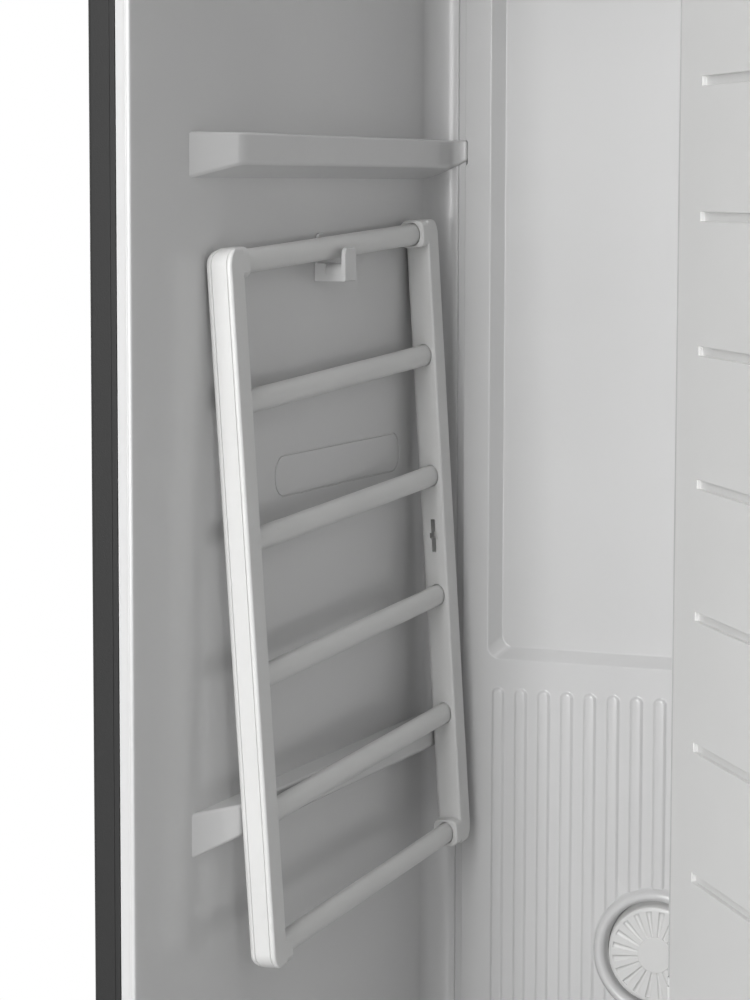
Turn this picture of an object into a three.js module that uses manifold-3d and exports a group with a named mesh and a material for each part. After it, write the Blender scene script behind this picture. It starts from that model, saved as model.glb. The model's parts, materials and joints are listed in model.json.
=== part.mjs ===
// Clothes care steam cabinet: a narrow closet that steams, shakes and dries clothes.
// Millimetres. x runs to the right, y from the front plane of the liner to the back, z up from
// the underside of the base pan. The last group moves the origin to the centre of the base.
import * as THREE from "three";
import { mergeVertices } from "three/addons/utils/BufferGeometryUtils.js";
import Module from "manifold-3d";

const wasm = await Module();
wasm.setup();

// Driving dimensions of the cabinet

const caseWidth = 445;
const caseHeight = 1835;
const caseDepth = 548;
const sheet = 1.5;
const fit = 0.3;
const overrun = 2;

const wallSpace = 30;
const linerWall = 3;
const roofSpace = 95;
const rearSpace = 28;

// Sizes of each piece

const sideReturn = { width: 19.2, hem: 3.6, hemStep: 0.6, flange: 10, cornerRadius: 3, rearWidth: 15 };
const flange = { rollWidth: 4, rollDepth: 13.3, gap: 0.6, rise: 8 };
const cove = { radius: 20, landing: 4.5, groove: 6, lap: 18, setBack: 2 };
const ledge = {
  lower: 750, upper: 1203, protrusion: 18.8, undersideRise: 9.4, face: 20.9, front: 84.5, slant: 43,
  flareRadius: 14, flareReach: 10.4, clearance: 1.5, noseRadius: 10,
};
const inset = { front: 220, rearMargin: 65.5, height: 30, middle: 994, depth: 1.2 };
const panel = { sideMargin: 28.1, thickness: 7.7, edge: 1, cornerRadius: 6, pad: 12, padLap: 6 };
const field = { sideMargin: 21.6, bottom: 825, headroom: 25, depth: 9, draft: 8.8, cornerRadius: 10 };
const bead = { pitch: 19.1, width: 10, height: 1.9, top: 803, crownShare: 0.28 };
const vent = {
  landing: 77, bore: 42, crest: 48, foot: 53, rise: 7, cupWall: 4, cupDepth: 17, cupFloor: 3,
  shoulderShare: 0.6,
};
const cap = {
  radius: 38.5, stand: 6, edgeRadius: 2, skin: 3.5, skirt: 2.5, lip: 4, clearance: 0.5, depth: 16,
  hub: 14, wedgeReach: 35, slot: 2, turnAngle: 10,
};
const hook = {
  offCentre: 6.65, width: 20, reach: 24, bottom: 1129.7, lip: 3.1, lipTop: 1154, block: 8.5,
  blockTop: 1142.5, plate: 2.2, plateTop: 1165, cornerRadius: 6, cradleGap: 0.6, scoopDepth: 9,
  scoopDrop: 11, saddleShare: 0.8,
};
const rack = {
  frontY: 113, wallGap: 11.8, axisZ: 1146, rearMargin: 48, pitch: 93.9, railThickness: 19.5,
  railWidth: 21, edgeRadius: 3, outerRadius: 12, wallRadius: 8, rungWidth: 12, rungHeight: 16.4,
  socketDepth: 14, collar: 21, collarLength: 10, collarRadius: 5.5, crossHeight: 23, crossWidth: 5.6,
  crossStroke: 2.8, crossDepth: 2, tiltAngle: 2.5,
};
const foot = {
  inset: 37.5, frontY: 42, rearMargin: 48, height: 15, pad: 22, padHeight: 5, nut: 9, nutGap: 2.5, stud: 5,
};
const basePan = { front: 10.6, floor: 2, upstand: 30, boss: 11, bossHeight: 20, boreGap: 0.6 };
const ceiling = { thickness: 4, slotWidth: 9 };
const lamp = { halfLength: 62, front: 38, width: 26, thickness: 2.6, neck: 4 };
const floorTray = {
  thickness: 6, lip: 20, grilleSlot: 8, grillePitch: 20, grilleLength: 70, grilleBack: 30,
};
const filter = {
  sideMargin: 82.5, front: 24, width: 46, depth: 34, under: 2, rim: 6, rimHeight: 3, wall: 3, slot: 5,
};
const steamOutlet = {
  sideMargin: 74.5, rearMargin: 88, radius: 28, height: 12, bore: 9, slot: 4, domeShare: 0.8,
};
const bay = { outward: 7.5, front: 5, depth: 182, cover: 7.8, floor: 108, wall: 3, divider: 12, side: 28 };
const tank = { clearance: 1.2, wall: 2.6, height: 300, cornerRadius: 12, grip: 96, gripHeight: 34 };
const tankGrip = { depth: 22, shell: 2.6, drop: 40 };
const lid = { thickness: 5, plug: 7, filler: 17, fillerHeight: 5 };
const bar = { endGap: 42.5, height: 18, width: 12, drop: 34, notch: 12, notchDepth: 8, pitch: 62 };
const arm = { fromEnd: 28, width: 26, thickness: 5 };
const carriage = { thickness: 5, width: 26, block: 20, stem: 22, boreGap: 0.5, stroke: 15, slotGap: 3 };
const guide = {
  rod: 4, halfLength: 80, halfSpan: 55, height: 30, post: 12, plate: 3, inward: 1, capShare: 1.5,
};
const drive = { setBack: 2, motor: 28, motorHeight: 26, shaft: 4, wheel: 23, wheelHeight: 7, pin: 3.5 };
const crankPinGap = 1;
const board = {
  sideMargin: 64.5, rearMargin: 80, halfWidth: 50, halfDepth: 62, tray: 2, wall: 18, parts: 12,
  chipShares: [[-2, -3], [1, -2], [-1, 1], [2, 3]],
};
const duct = {
  sideMargin: 52.5, width: 218, front: 200, rearMargin: 18, floor: 4, wall: 3, height: 46, coilGap: 6,
};
const coil = {
  width: 140, height: 170, depth: 46, end: 4, fins: 9, web: 6, tube: 4, slotShare: 0.62, rowShare: 0.25,
};
const scroll = {
  rearMargin: 90, sideMargin: 92, z: 150, eye: 44, depth: 62, grow: 26, wall: 3, radius: 66, neck: 50,
  steps: 14, motorShare: 0.7,
};
const impeller = {
  radius: 58, length: 44, blades: 10, blade: 2, chord: 13, plate: 3, hub: 10, shaft: 4, sweepAngle: 10,
};
const compressor = {
  sideMargin: 98.5, y: 280, radius: 54, height: 190, foot: 12, footHeight: 8, stub: 7, stubShare: 0.25,
  bottomShares: [[0.7, 0], [1, 0.3]], topShares: [[1, 0.5], [0.85, 0.2], [0.5, 0]],
};
const boiler = { width: 110, depth: 74, height: 62, floor: 240, leg: 3, stub: 10, ring: 12 };
const pipe = { bow: 10, boreShare: 0.7, riseShares: [0.15, 0.5, 0.85] };
const pump = { sideMargin: 28, y: 350, radius: 22, length: 60, foot: 6, noseShare: 0.8, portShare: 1.6 };
const inlet = { sideMargin: 72.5, z: 84, width: 50, height: 30, depth: 22, flange: 6, recess: 14, pin: 2 };
const door = {
  openAngle: 125, gap: 6, thickness: 44, glass: 4, bottom: 34, topGap: 3, liner: 3, frame: 32, bar: 32,
  plateauGap: 6.5, plateauInset: 16, plateau: 20, cornerRadius: 4,
};
const hinge = { inset: 17.5, y: -28, pin: 5, pinGap: 0.5, pinLength: 18, plate: 5, reach: 60, halfWidth: 17 };
const gasket = { inward: 4.5, outward: 9, squeeze: 0.5 };
const grip = { height: 300, middle: 1000, width: 20, depth: 22 };
const press = {
  sideMargin: 40, bottom: 640, clampGap: 90, thickness: 12, cornerRadius: 18, knuckle: 5,
  knuckleHeight: 46, slot: 5, slotPitch: 72, knuckleShares: [0.1, 0.9],
};
const clamp = { sideMargin: 68, drop: 150, height: 26, depth: 14, lip: 3 };
const backLouvre = { height: 7, pitch: 17, halfLength: 120, first: 130, count: 9 };
const kickSlot = { width: 5, pitch: 16, height: 46, count: 9 };

// Finishes

const finishes = {
  case: [0x373737, 0.55, 0.35],
  liner: [0xc4c4c4, 0.28, 0],
  rack: [0xd8d8d6, 0.4, 0],
  dark: [0x2b2b2d, 0.6, 0],
  metal: [0xb5b7b8, 0.35, 1],
  galvanised: [0x9a9d9f, 0.5, 0.9],
  foam: [0xe8e4d8, 0.95, 0],
  glass: [0x15171a, 0.08, 0.1],
  clear: [0xb7c4cc, 0.15, 0],
  rubber: [0x3a3a3a, 0.85, 0],
  board: [0x2f5a3c, 0.6, 0],
};

// Geometry helpers

const pairs = (points) => points.map(([a, b]) => new THREE.Vector2(a, b));

// A mesh whose faces all point out, whatever the order that made it
function facingOut(geometry) {
  const flat = geometry.index ? geometry : mergeVertices(geometry);
  const place = flat.attributes.position;
  const index = flat.index.array;
  const [a, b, c] = [new THREE.Vector3(), new THREE.Vector3(), new THREE.Vector3()];
  let volume = 0;
  for (let i = 0; i < index.length; i += 3) {
    a.fromBufferAttribute(place, index[i]);
    b.fromBufferAttribute(place, index[i + 1]);
    c.fromBufferAttribute(place, index[i + 2]);
    volume += a.dot(b.cross(c));
  }
  if (volume < 0) {
    for (let i = 0; i < index.length; i += 3) {
      [index[i], index[i + 1]] = [index[i + 1], index[i]];
    }
  }
  return flat;
}

function solid(geometry) {
  const bare = geometry.clone();
  bare.deleteAttribute("normal");
  bare.deleteAttribute("uv");
  const whole = facingOut(mergeVertices(bare));
  return new wasm.Manifold(new wasm.Mesh({
    numProp: 3,
    vertProperties: new Float32Array(whole.attributes.position.array),
    triVerts: new Uint32Array(whole.index.array),
  }));
}

function surface(body) {
  const mesh = body.getMesh();
  const geometry = new THREE.BufferGeometry();
  geometry.setAttribute("position", new THREE.BufferAttribute(mesh.vertProperties, 3));
  geometry.setIndex(new THREE.BufferAttribute(mesh.triVerts, 1));
  return geometry;
}

const join = (...bodies) => bodies.reduce((whole, body) => whole.add(body));
const cut = (body, ...tools) => tools.reduce((left, tool) => left.subtract(tool), body);

// The basis that turns an extrusion along z into one along another axis
const bases = {
  x: new THREE.Matrix4().makeBasis(
    new THREE.Vector3(0, 1, 0), new THREE.Vector3(0, 0, 1), new THREE.Vector3(1, 0, 0)),
  y: new THREE.Matrix4().makeBasis(
    new THREE.Vector3(1, 0, 0), new THREE.Vector3(0, 0, 1), new THREE.Vector3(0, -1, 0)),
  z: new THREE.Matrix4(),
};

// A shape, drawn in the plane across the axis, extruded between two places on it
function extruded(axis, shape, from, to, segments = 6) {
  const options = { depth: to - from, bevelEnabled: false, curveSegments: segments };
  const geometry = new THREE.ExtrudeGeometry(shape, options).applyMatrix4(bases[axis]);
  const start = { x: [from, 0, 0], y: [0, to, 0], z: [0, 0, from] }[axis];
  return solid(geometry.translate(...start));
}

const polygon = (points) => new THREE.Shape(pairs(points));

function rectangle([left, right], [low, high], radius = 0) {
  if (radius === 0) return polygon([[left, low], [right, low], [right, high], [left, high]]);
  const shape = new THREE.Shape();
  shape.absarc(right - radius, low + radius, radius, -Math.PI / 2, 0);
  shape.absarc(right - radius, high - radius, radius, 0, Math.PI / 2);
  shape.absarc(left + radius, high - radius, radius, Math.PI / 2, Math.PI);
  shape.absarc(left + radius, low + radius, radius, Math.PI, Math.PI * 1.5);
  return shape;
}

const block = (x, y, z) => extruded("z", rectangle(x, y), z[0], z[1]);

function disc(axis, [a, b], radius, from, to, segments = 16) {
  const shape = new THREE.Shape().absarc(a, b, radius, 0, Math.PI * 2);
  return extruded(axis, shape, from, to, segments / 2);
}

// A profile of [radius, height] points turned round an upright or a front to back axis
function turned(axis, points, place, segments = 32) {
  const geometry = new THREE.LatheGeometry(pairs(points), segments);
  if (axis === "z") geometry.rotateX(Math.PI / 2);
  return solid(geometry.translate(...place));
}

// A body with straight sides between two outlines that have the same number of points
function lofted(axis, first, second, from, to) {
  const count = first.length;
  const places = [...first.map(([a, b]) => [a, b, from]), ...second.map(([a, b]) => [a, b, to])];
  const faces = [];
  for (const [a, b, c] of THREE.ShapeUtils.triangulateShape(pairs(first), [])) {
    faces.push(c, b, a, a + count, b + count, c + count);
  }
  for (let i = 0; i < count; i += 1) {
    const next = (i + 1) % count;
    faces.push(i, next, next + count, i, next + count, i + count);
  }
  const geometry = new THREE.BufferGeometry();
  geometry.setAttribute("position", new THREE.Float32BufferAttribute(places.flat(), 3));
  geometry.setIndex(faces);
  if (axis === "y") {
    geometry.applyMatrix4(new THREE.Matrix4().makeBasis(
      new THREE.Vector3(1, 0, 0), new THREE.Vector3(0, 0, 1), new THREE.Vector3(0, 1, 0)));
  }
  return solid(geometry);
}

const mirroredInX = (body) => solid(surface(body).scale(-1, 1, 1));
const mirroredInY = (body) => solid(surface(body).scale(1, -1, 1));
const around = (middle, half) => [middle - half, middle + half];
const span = (count) => Array.from({ length: count }, (_, i) => i);
const degrees = THREE.MathUtils.degToRad;

const cabinet = new THREE.Group();

function piece(name, body, finish, parent = cabinet) {
  const [color, roughness, metalness] = finishes[finish];
  const geometry = surface(body);
  geometry.computeVertexNormals();
  const mesh = new THREE.Mesh(geometry, new THREE.MeshStandardMaterial({ color, roughness, metalness }));
  mesh.name = name;
  parent.add(mesh);
  return mesh;
}

// Places that several pieces share

const caseSide = caseWidth / 2;
const chamberHalfWidth = caseSide - wallSpace;
const panelHalf = chamberHalfWidth - panel.sideMargin;
const fieldHalf = panelHalf - field.sideMargin;
const rackAxisX = rack.wallGap - chamberHalfWidth;
const gasketInner = chamberHalfWidth - gasket.inward;
const gasketOuter = chamberHalfWidth + gasket.outward;
const plateauHalf = chamberHalfWidth - door.plateauGap;
const pressHalf = plateauHalf - press.sideMargin;
const clampHalf = plateauHalf - clamp.sideMargin;
const barHalf = chamberHalfWidth - bar.endGap;
const armX = barHalf - arm.fromEnd;
const bayHalf = chamberHalfWidth + bay.outward;
const filterHalf = chamberHalfWidth - filter.sideMargin;
const hingeX = caseSide - hinge.inset;
const outletX = chamberHalfWidth - steamOutlet.sideMargin;
const compressorX = caseSide - compressor.sideMargin;
const inletX = caseSide - inlet.sideMargin;
const ductLeft = duct.sideMargin - caseSide;
const ductRight = ductLeft + duct.width;
const scrollX = ductLeft + scroll.sideMargin;
const pumpX = ductRight - pump.sideMargin;
const backPlane = caseDepth - sheet;
const coverFront = backPlane - fit - sheet;
const roof = caseHeight - sheet;
const chamberCeiling = caseHeight - roofSpace;
const chamberDepth = caseDepth - rearSpace;
const pocketTop = bay.floor + tank.height + lid.thickness + lid.fillerHeight + tank.clearance + lid.plug;
const bayTop = pocketTop + bay.cover;
const chamberFloor = bayTop + filter.depth + filter.under;
const flangeOuter = caseSide - sideReturn.width - flange.gap;
const linerBack = chamberDepth + cove.setBack + cove.groove;
const linerOuter = chamberHalfWidth + linerWall;
const lapEnd = chamberHalfWidth - cove.radius - cove.landing - cove.lap;
const ceilingTop = chamberCeiling + ceiling.thickness;
const fieldTop = chamberCeiling - field.headroom;
const ventBack = chamberDepth + vent.cupDepth + vent.cupFloor;
const ventHeight = chamberFloor + vent.foot + vent.landing;
const footRear = caseDepth - foot.rearMargin;
const outletY = chamberDepth - steamOutlet.rearMargin;
const driveY = chamberDepth / 2 + drive.setBack;
const ductBack = caseDepth - duct.rearMargin;
const scrollY = ductBack - scroll.rearMargin;
const barTop = chamberCeiling - bar.drop;
const clampLow = chamberCeiling - clamp.drop;
const pressTop = clampLow - press.clampGap;

// Case

function sidePanel() {
  const inner = caseSide - sheet;
  const end = caseSide - sideReturn.width;
  const hem = end + sideReturn.hem;
  const corner = new THREE.Shape();
  corner.moveTo(-caseSide, caseDepth);
  corner.lineTo(-caseSide, sideReturn.cornerRadius);
  corner.absarc(
    -caseSide + sideReturn.cornerRadius, sideReturn.cornerRadius, sideReturn.cornerRadius,
    Math.PI, Math.PI * 1.5);
  corner.lineTo(-hem, 0);
  corner.lineTo(-hem, sideReturn.hemStep);
  corner.lineTo(-end, sideReturn.hemStep);
  corner.lineTo(-end, sideReturn.flange);
  corner.lineTo(-end - sheet, sideReturn.flange);
  corner.lineTo(-end - sheet, sheet + sideReturn.hemStep);
  corner.lineTo(-inner, sheet + sideReturn.hemStep);
  corner.lineTo(-inner, backPlane);
  corner.lineTo(-caseSide + sideReturn.rearWidth, backPlane);
  corner.lineTo(-caseSide + sideReturn.rearWidth, caseDepth);
  return extruded("z", corner, 0, roof - fit, 4);
}

function frontPlate(bottom, top) {
  const edge = flangeOuter + flange.gap - fit;
  const back = sheet + sideReturn.flange - sideReturn.cornerRadius;
  const plate = polygon([
    [-edge, 0], [edge, 0], [edge, back], [edge - sheet, back],
    [edge - sheet, sheet], [sheet - edge, sheet], [sheet - edge, back], [-edge, back],
  ]);
  return extruded("z", plate, bottom, top);
}

function kickPlate() {
  const middle = basePan.floor + (bay.floor - basePan.floor) / 2;
  const slots = span(kickSlot.count).map((i) => {
    const x = (i - (kickSlot.count - 1) / 2) * kickSlot.pitch;
    const width = [x - kickSlot.width / 2, x + kickSlot.width / 2];
    const height = [middle - kickSlot.height / 2, middle + kickSlot.height / 2];
    return extruded("y", rectangle(width, height), -overrun, sheet + overrun);
  });
  return cut(frontPlate(fit, bay.floor - linerWall), ...slots);
}

function backCover() {
  const edge = caseSide - sheet - fit;
  const sheetBody = block([-edge, edge], [coverFront, coverFront + sheet], [fit, roof - fit]);
  const slots = span(backLouvre.count).map((i) => {
    const low = backLouvre.first + i * backLouvre.pitch;
    const height = [low, low + backLouvre.height];
    const shape = rectangle([-backLouvre.halfLength, backLouvre.halfLength], height);
    return extruded("y", shape, coverFront - overrun, backPlane);
  });
  const socket = rectangle(
    [inletX - inlet.width / 2 - fit, inletX + inlet.width / 2 + fit],
    [inlet.z - inlet.height / 2 - fit, inlet.z + inlet.height / 2 + fit]);
  return cut(sheetBody, ...slots, extruded("y", socket, coverFront - overrun, backPlane));
}

const footPlaces = [
  ["front_left", -1, foot.frontY], ["front_right", 1, foot.frontY],
  ["rear_left", -1, footRear], ["rear_right", 1, footRear],
];
const footX = caseSide - foot.inset;

function basePanBody() {
  const edge = caseSide - sheet - fit;
  const back = coverFront - fit;
  const outer = block([-edge, edge], [basePan.front, back], [0, basePan.upstand]);
  const inner = block(
    [basePan.floor - edge, edge - basePan.floor], [basePan.front + basePan.floor, back - basePan.floor],
    [basePan.floor, basePan.upstand + overrun]);
  const bosses = footPlaces.map(([, side, y]) => (
    disc("z", [side * footX, y], basePan.boss, 0, basePan.bossHeight, 12)));
  const bores = footPlaces.map(([, side, y]) => (
    disc("z", [side * footX, y], foot.stud + basePan.boreGap, -overrun, basePan.bossHeight + overrun, 12)));
  return cut(join(cut(outer, inner), ...bosses), ...bores);
}

function levellingFoot() {
  const padTop = foot.padHeight - foot.height;
  const profile = [
    [0, -foot.height], [foot.pad, -foot.height], [foot.pad, padTop - foot.padHeight / 2],
    [foot.nut, padTop], [foot.nut, -foot.nutGap], [foot.stud, -foot.nutGap],
    [foot.stud, basePan.bossHeight + foot.padHeight], [0, basePan.bossHeight + foot.padHeight],
  ];
  return turned("z", profile, [0, 0, 0], 10);
}

// Liner

function ledgeBody(height) {
  const outer = chamberHalfWidth - ledge.protrusion;
  const buried = chamberHalfWidth + linerWall / 2;
  const reach = outer - ledge.flareReach;
  const slope = ledge.undersideRise / ledge.protrusion;
  const low = height + ledge.undersideRise;
  const top = low + ledge.face;
  const section = polygon([
    [-buried, height - slope * (buried - chamberHalfWidth)], [-reach, low + slope * ledge.flareReach],
    [-reach, top], [-buried, top],
  ]);
  const back = chamberDepth + cove.setBack;
  const plan = new THREE.Shape();
  plan.moveTo(-buried, back);
  plan.lineTo(-buried, ledge.front);
  plan.lineTo(-chamberHalfWidth, ledge.front);
  const early = ledge.noseRadius / 2;
  plan.lineTo(-outer - (early * ledge.protrusion) / ledge.slant, ledge.front + ledge.slant - early);
  const nose = ledge.front + ledge.slant;
  plan.quadraticCurveTo(-outer, nose, -outer, nose + ledge.noseRadius);
  plan.lineTo(-outer, back - ledge.flareRadius);
  plan.quadraticCurveTo(-outer, back, -reach, back);
  const swept = extruded("y", section, ledge.front - overrun, back + overrun);
  return swept.intersect(extruded("z", plan, height - ledge.face, top + ledge.face, 3));
}

function linerWallBody() {
  const wall = -chamberHalfWidth;
  const behind = chamberDepth + cove.setBack;
  const landing = wall + cove.radius + cove.landing;
  const skin = new THREE.Shape();
  skin.moveTo(-flangeOuter, 0);
  skin.lineTo(wall - flange.rollWidth, 0);
  skin.quadraticCurveTo(wall, 0, wall, flange.rollDepth);
  skin.lineTo(wall, behind - cove.radius);
  skin.absarc(wall + cove.radius, behind - cove.radius, cove.radius, Math.PI, Math.PI / 2, true);
  skin.lineTo(landing, behind);
  skin.lineTo(landing, linerBack);
  skin.lineTo(landing + cove.lap, linerBack);
  skin.lineTo(landing + cove.lap, linerBack + linerWall);
  skin.lineTo(wall + cove.radius / 2, linerBack + linerWall);
  skin.lineTo(-linerOuter, behind - cove.radius / 2);
  skin.lineTo(-linerOuter, flange.rollDepth);
  skin.quadraticCurveTo(-linerOuter, linerWall, wall - linerWall - flange.rollWidth, linerWall);
  skin.lineTo(-flangeOuter, linerWall);
  const wallBody = extruded("z", skin, chamberFloor + fit, chamberCeiling - fit, 5);
  return join(wallBody, ledgeBody(ledge.lower), ledgeBody(ledge.upper));
}

function obroundCut() {
  const radius = inset.height / 2;
  const shape = new THREE.Shape();
  shape.absarc(inset.front + radius, inset.middle, radius, Math.PI / 2, Math.PI * 1.5);
  shape.absarc(chamberDepth - inset.rearMargin - radius, inset.middle, radius, -Math.PI / 2, Math.PI / 2);
  return extruded("x", shape, -chamberHalfWidth - inset.depth, -chamberHalfWidth + overrun, 6);
}

function ceilingBody() {
  const wide = around(0, flangeOuter);
  const plate = block(wide, [0, linerBack + linerWall], [chamberCeiling, ceilingTop]);
  const lip = block(wide, [0, linerWall], [chamberCeiling, ceilingTop + flange.rise]);
  const travel = arm.width / 2 + carriage.stroke + carriage.slotGap;
  const slots = [-1, 1].map((side) => block(
    [side * armX - travel, side * armX + travel],
    [driveY - ceiling.slotWidth / 2, driveY + ceiling.slotWidth / 2],
    [chamberCeiling - overrun, ceilingTop + overrun]));
  const neck = block(
    [lamp.neck - lamp.halfLength - fit, lamp.halfLength - lamp.neck + fit],
    [lamp.front + lamp.neck - fit, lamp.front + lamp.width - lamp.neck + fit],
    [chamberCeiling - overrun, ceilingTop + overrun]);
  return cut(join(plate, lip), ...slots, neck);
}

function lampLens() {
  const lens = extruded(
    "z", rectangle([-lamp.halfLength, lamp.halfLength], [lamp.front, lamp.front + lamp.width], lamp.neck),
    chamberCeiling - fit - lamp.thickness, chamberCeiling - fit, 2);
  const neck = block(
    [lamp.neck - lamp.halfLength, lamp.halfLength - lamp.neck],
    [lamp.front + lamp.neck, lamp.front + lamp.width - lamp.neck],
    [chamberCeiling - fit - lamp.thickness / 2, ceilingTop]);
  return join(lens, neck);
}

const trayBottom = chamberFloor - floorTray.thickness;

function floorTrayBody() {
  const edge = flangeOuter;
  const back = linerBack + linerWall;
  const plate = block([-edge, edge], [0, back], [trayBottom, chamberFloor]);
  const lip = block([-edge, edge], [0, linerWall], [chamberFloor - floorTray.lip, chamberFloor]);
  const well = block(
    around(0, filterHalf + fit), [filter.front - fit, filter.front + filter.width + fit],
    [trayBottom - overrun, chamberFloor + overrun]);
  const grilleRight = outletX - steamOutlet.radius - floorTray.grillePitch;
  const count = Math.floor((grilleRight + chamberHalfWidth) / floorTray.grillePitch) - 1;
  const grilleBack = chamberDepth - floorTray.grilleBack;
  const slots = span(count).map((i) => {
    const left = grilleRight - (i + 1) * floorTray.grillePitch;
    return block(
      [left, left + floorTray.grilleSlot], [grilleBack - floorTray.grilleLength, grilleBack],
      [trayBottom - overrun, chamberFloor + overrun]);
  });
  const bore = disc(
    "z", [outletX, outletY], steamOutlet.bore, trayBottom - overrun, chamberFloor + overrun);
  return cut(join(plate, lip), well, bore, ...slots);
}

function steamOutletBody() {
  const base = chamberFloor + fit;
  const top = base + steamOutlet.height;
  const dome = turned("z", [
    [0, base], [steamOutlet.radius, base], [steamOutlet.radius, base + steamOutlet.height / 3],
    [steamOutlet.radius * steamOutlet.domeShare, top - steamOutlet.height / 6],
    [steamOutlet.bore, top], [0, top],
  ], [outletX, outletY, 0], 14);
  const hollow = disc(
    "z", [outletX, outletY], steamOutlet.bore, base - overrun, top - steamOutlet.slot, 12);
  const slots = span(3).map((i) => {
    const x = outletX + ((i - 1) * steamOutlet.slot * 3) / 2;
    return block(
      [x - steamOutlet.slot / 4, x + steamOutlet.slot / 4],
      [outletY - steamOutlet.bore / 2, outletY + steamOutlet.bore / 2],
      [top - steamOutlet.slot - overrun, top + overrun]);
  });
  return cut(dome, hollow, ...slots);
}

// Back panel with its recessed field, beads and vent ring

function roundedOutline(halfWidth, low, high, radius) {
  const points = rectangle([-halfWidth, halfWidth], [low, high], radius).getPoints(4);
  return points.map((point) => [point.x, point.y]);
}

function backPanelBody() {
  const face = chamberDepth;
  const plate = extruded("y", rectangle(
    [-panelHalf, panelHalf], [chamberFloor + panel.edge, chamberCeiling - panel.edge],
    panel.cornerRadius), face, face + panel.thickness);
  const pad = block(
    around(0, lapEnd - fit), [face, face + panel.pad],
    [field.bottom - panel.padLap, fieldTop + panel.padLap]);
  const recess = lofted(
    "y",
    roundedOutline(fieldHalf, field.bottom, fieldTop, field.cornerRadius),
    roundedOutline(
      fieldHalf - field.draft, field.bottom + field.draft, fieldTop - field.draft,
      field.cornerRadius - field.draft / 2),
    face, face + field.depth);
  const mouth = extruded("y", rectangle(
    [-fieldHalf, fieldHalf], [field.bottom, fieldTop], field.cornerRadius),
  face - overrun, face, 4);
  const profile = polygon([
    [-bead.width / 2, overrun], [-bead.width / 2, 0], [-bead.width * bead.crownShare, -bead.height],
    [bead.width * bead.crownShare, -bead.height], [bead.width / 2, 0], [bead.width / 2, overrun],
  ]);
  const oneBead = extruded("z", profile, chamberFloor + panel.edge + panel.cornerRadius, bead.top);
  const count = 2 * Math.floor(fieldHalf / bead.pitch) + 1;
  const beads = span(count).map((i) => (
    oneBead.translate([(i - (count - 1) / 2) * bead.pitch, face, 0])));
  const clear = disc("y", [0, ventHeight], vent.crest, face - 2 * bead.height, face + overrun, 28);
  const ring = turned("y", [
    [vent.bore, ventBack], [vent.bore + vent.cupWall, ventBack], [vent.bore + vent.cupWall, face + overrun],
    [vent.foot, face + overrun], [vent.foot, face],
    [vent.foot - (vent.foot - vent.crest) / 3, face - vent.rise * vent.shoulderShare],
    [vent.crest, face - vent.rise],
    [vent.crest - (vent.crest - vent.bore) / 2, face - vent.rise], [vent.bore, face - vent.rise / 2],
    [vent.bore, ventBack],
  ], [0, 0, ventHeight], 28);
  const bottom = disc(
    "y", [0, ventHeight], vent.bore + vent.cupWall / 2, ventBack - vent.cupFloor, ventBack, 28);
  const bore = disc(
    "y", [0, ventHeight], vent.bore + vent.cupWall / 4,
    face - overrun, face + panel.thickness + overrun, 28);
  const border = cut(join(cut(join(plate, pad), recess, mouth), cut(join(...beads), clear)), bore);
  const notches = [ledge.lower, ledge.upper].flatMap((height) => [-1, 1].map((side) => {
    const reach = chamberHalfWidth - ledge.protrusion - ledge.flareReach - ledge.clearance;
    const x = [side * reach, side * (panelHalf + overrun)].sort((a, b) => a - b);
    const low = height + ledge.undersideRise - ledge.clearance;
    const high = height + ledge.undersideRise + ledge.face + ledge.clearance;
    return block(x, [face - overrun, face + panel.thickness + overrun], [low, high]);
  }));
  return cut(join(border, ring, bottom), ...notches);
}

function scentCap() {
  const front = chamberDepth - cap.stand;
  const back = front + cap.depth;
  const outer = vent.bore - cap.clearance;
  const inner = cap.radius - cap.skirt;
  const shell = turned("y", [
    [0, front], [cap.radius - cap.edgeRadius, front], [cap.radius, front + cap.edgeRadius],
    [cap.radius, back - cap.lip], [outer, back - cap.lip], [outer, back], [inner, back],
    [inner, front + cap.skin], [0, front + cap.skin],
  ], [0, 0, 0], 24);
  const count = 20;
  const step = (Math.PI * 2) / count;
  const at = (radius, angle) => [radius * Math.cos(angle), radius * Math.sin(angle)];
  const slots = span(count).map((i) => {
    const middle = degrees(cap.turnAngle) + i * step;
    const [a, b] = [middle - step / 4, middle + step / 4];
    const low = cap.wedgeReach - cap.slot;
    const slot = polygon([at(low, a), at(cap.wedgeReach, a), at(cap.wedgeReach, b), at(low, b)]);
    return extruded("y", slot, front - overrun, front + cap.skin + overrun);
  });
  const hub = disc("y", [0, 0], cap.hub, front - cap.edgeRadius, front + cap.edgeRadius, 16);
  return join(cut(shell, ...slots), hub);
}

function scentSachet() {
  const front = chamberDepth - cap.stand + cap.depth + fit;
  const back = ventBack - vent.cupFloor - fit;
  const radius = cap.radius - cap.skirt;
  const edge = (back - front) / 3;
  return turned("y", [
    [0, front], [radius - edge, front], [radius, front + edge], [radius, back - edge],
    [radius - edge, back], [0, back],
  ], [0, 0, ventHeight], 16);
}

// Hook and rack

const rackLean = Math.atan(
  (ledge.protrusion + fit + rack.railThickness / 2 - chamberHalfWidth - rackAxisX)
  / (rack.axisZ - ledge.lower - ledge.undersideRise - ledge.face));
const rackTilt = degrees(rack.tiltAngle);
const halfSpacing = (chamberDepth - rack.frontY - rack.rearMargin) / 2;
const rackMiddle = new THREE.Vector3(
  rackAxisX - halfSpacing * Math.sin(rackLean) * Math.sin(rackTilt),
  rack.frontY + halfSpacing * Math.cos(rackTilt),
  rack.axisZ + halfSpacing * Math.cos(rackLean) * Math.sin(rackTilt));

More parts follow.
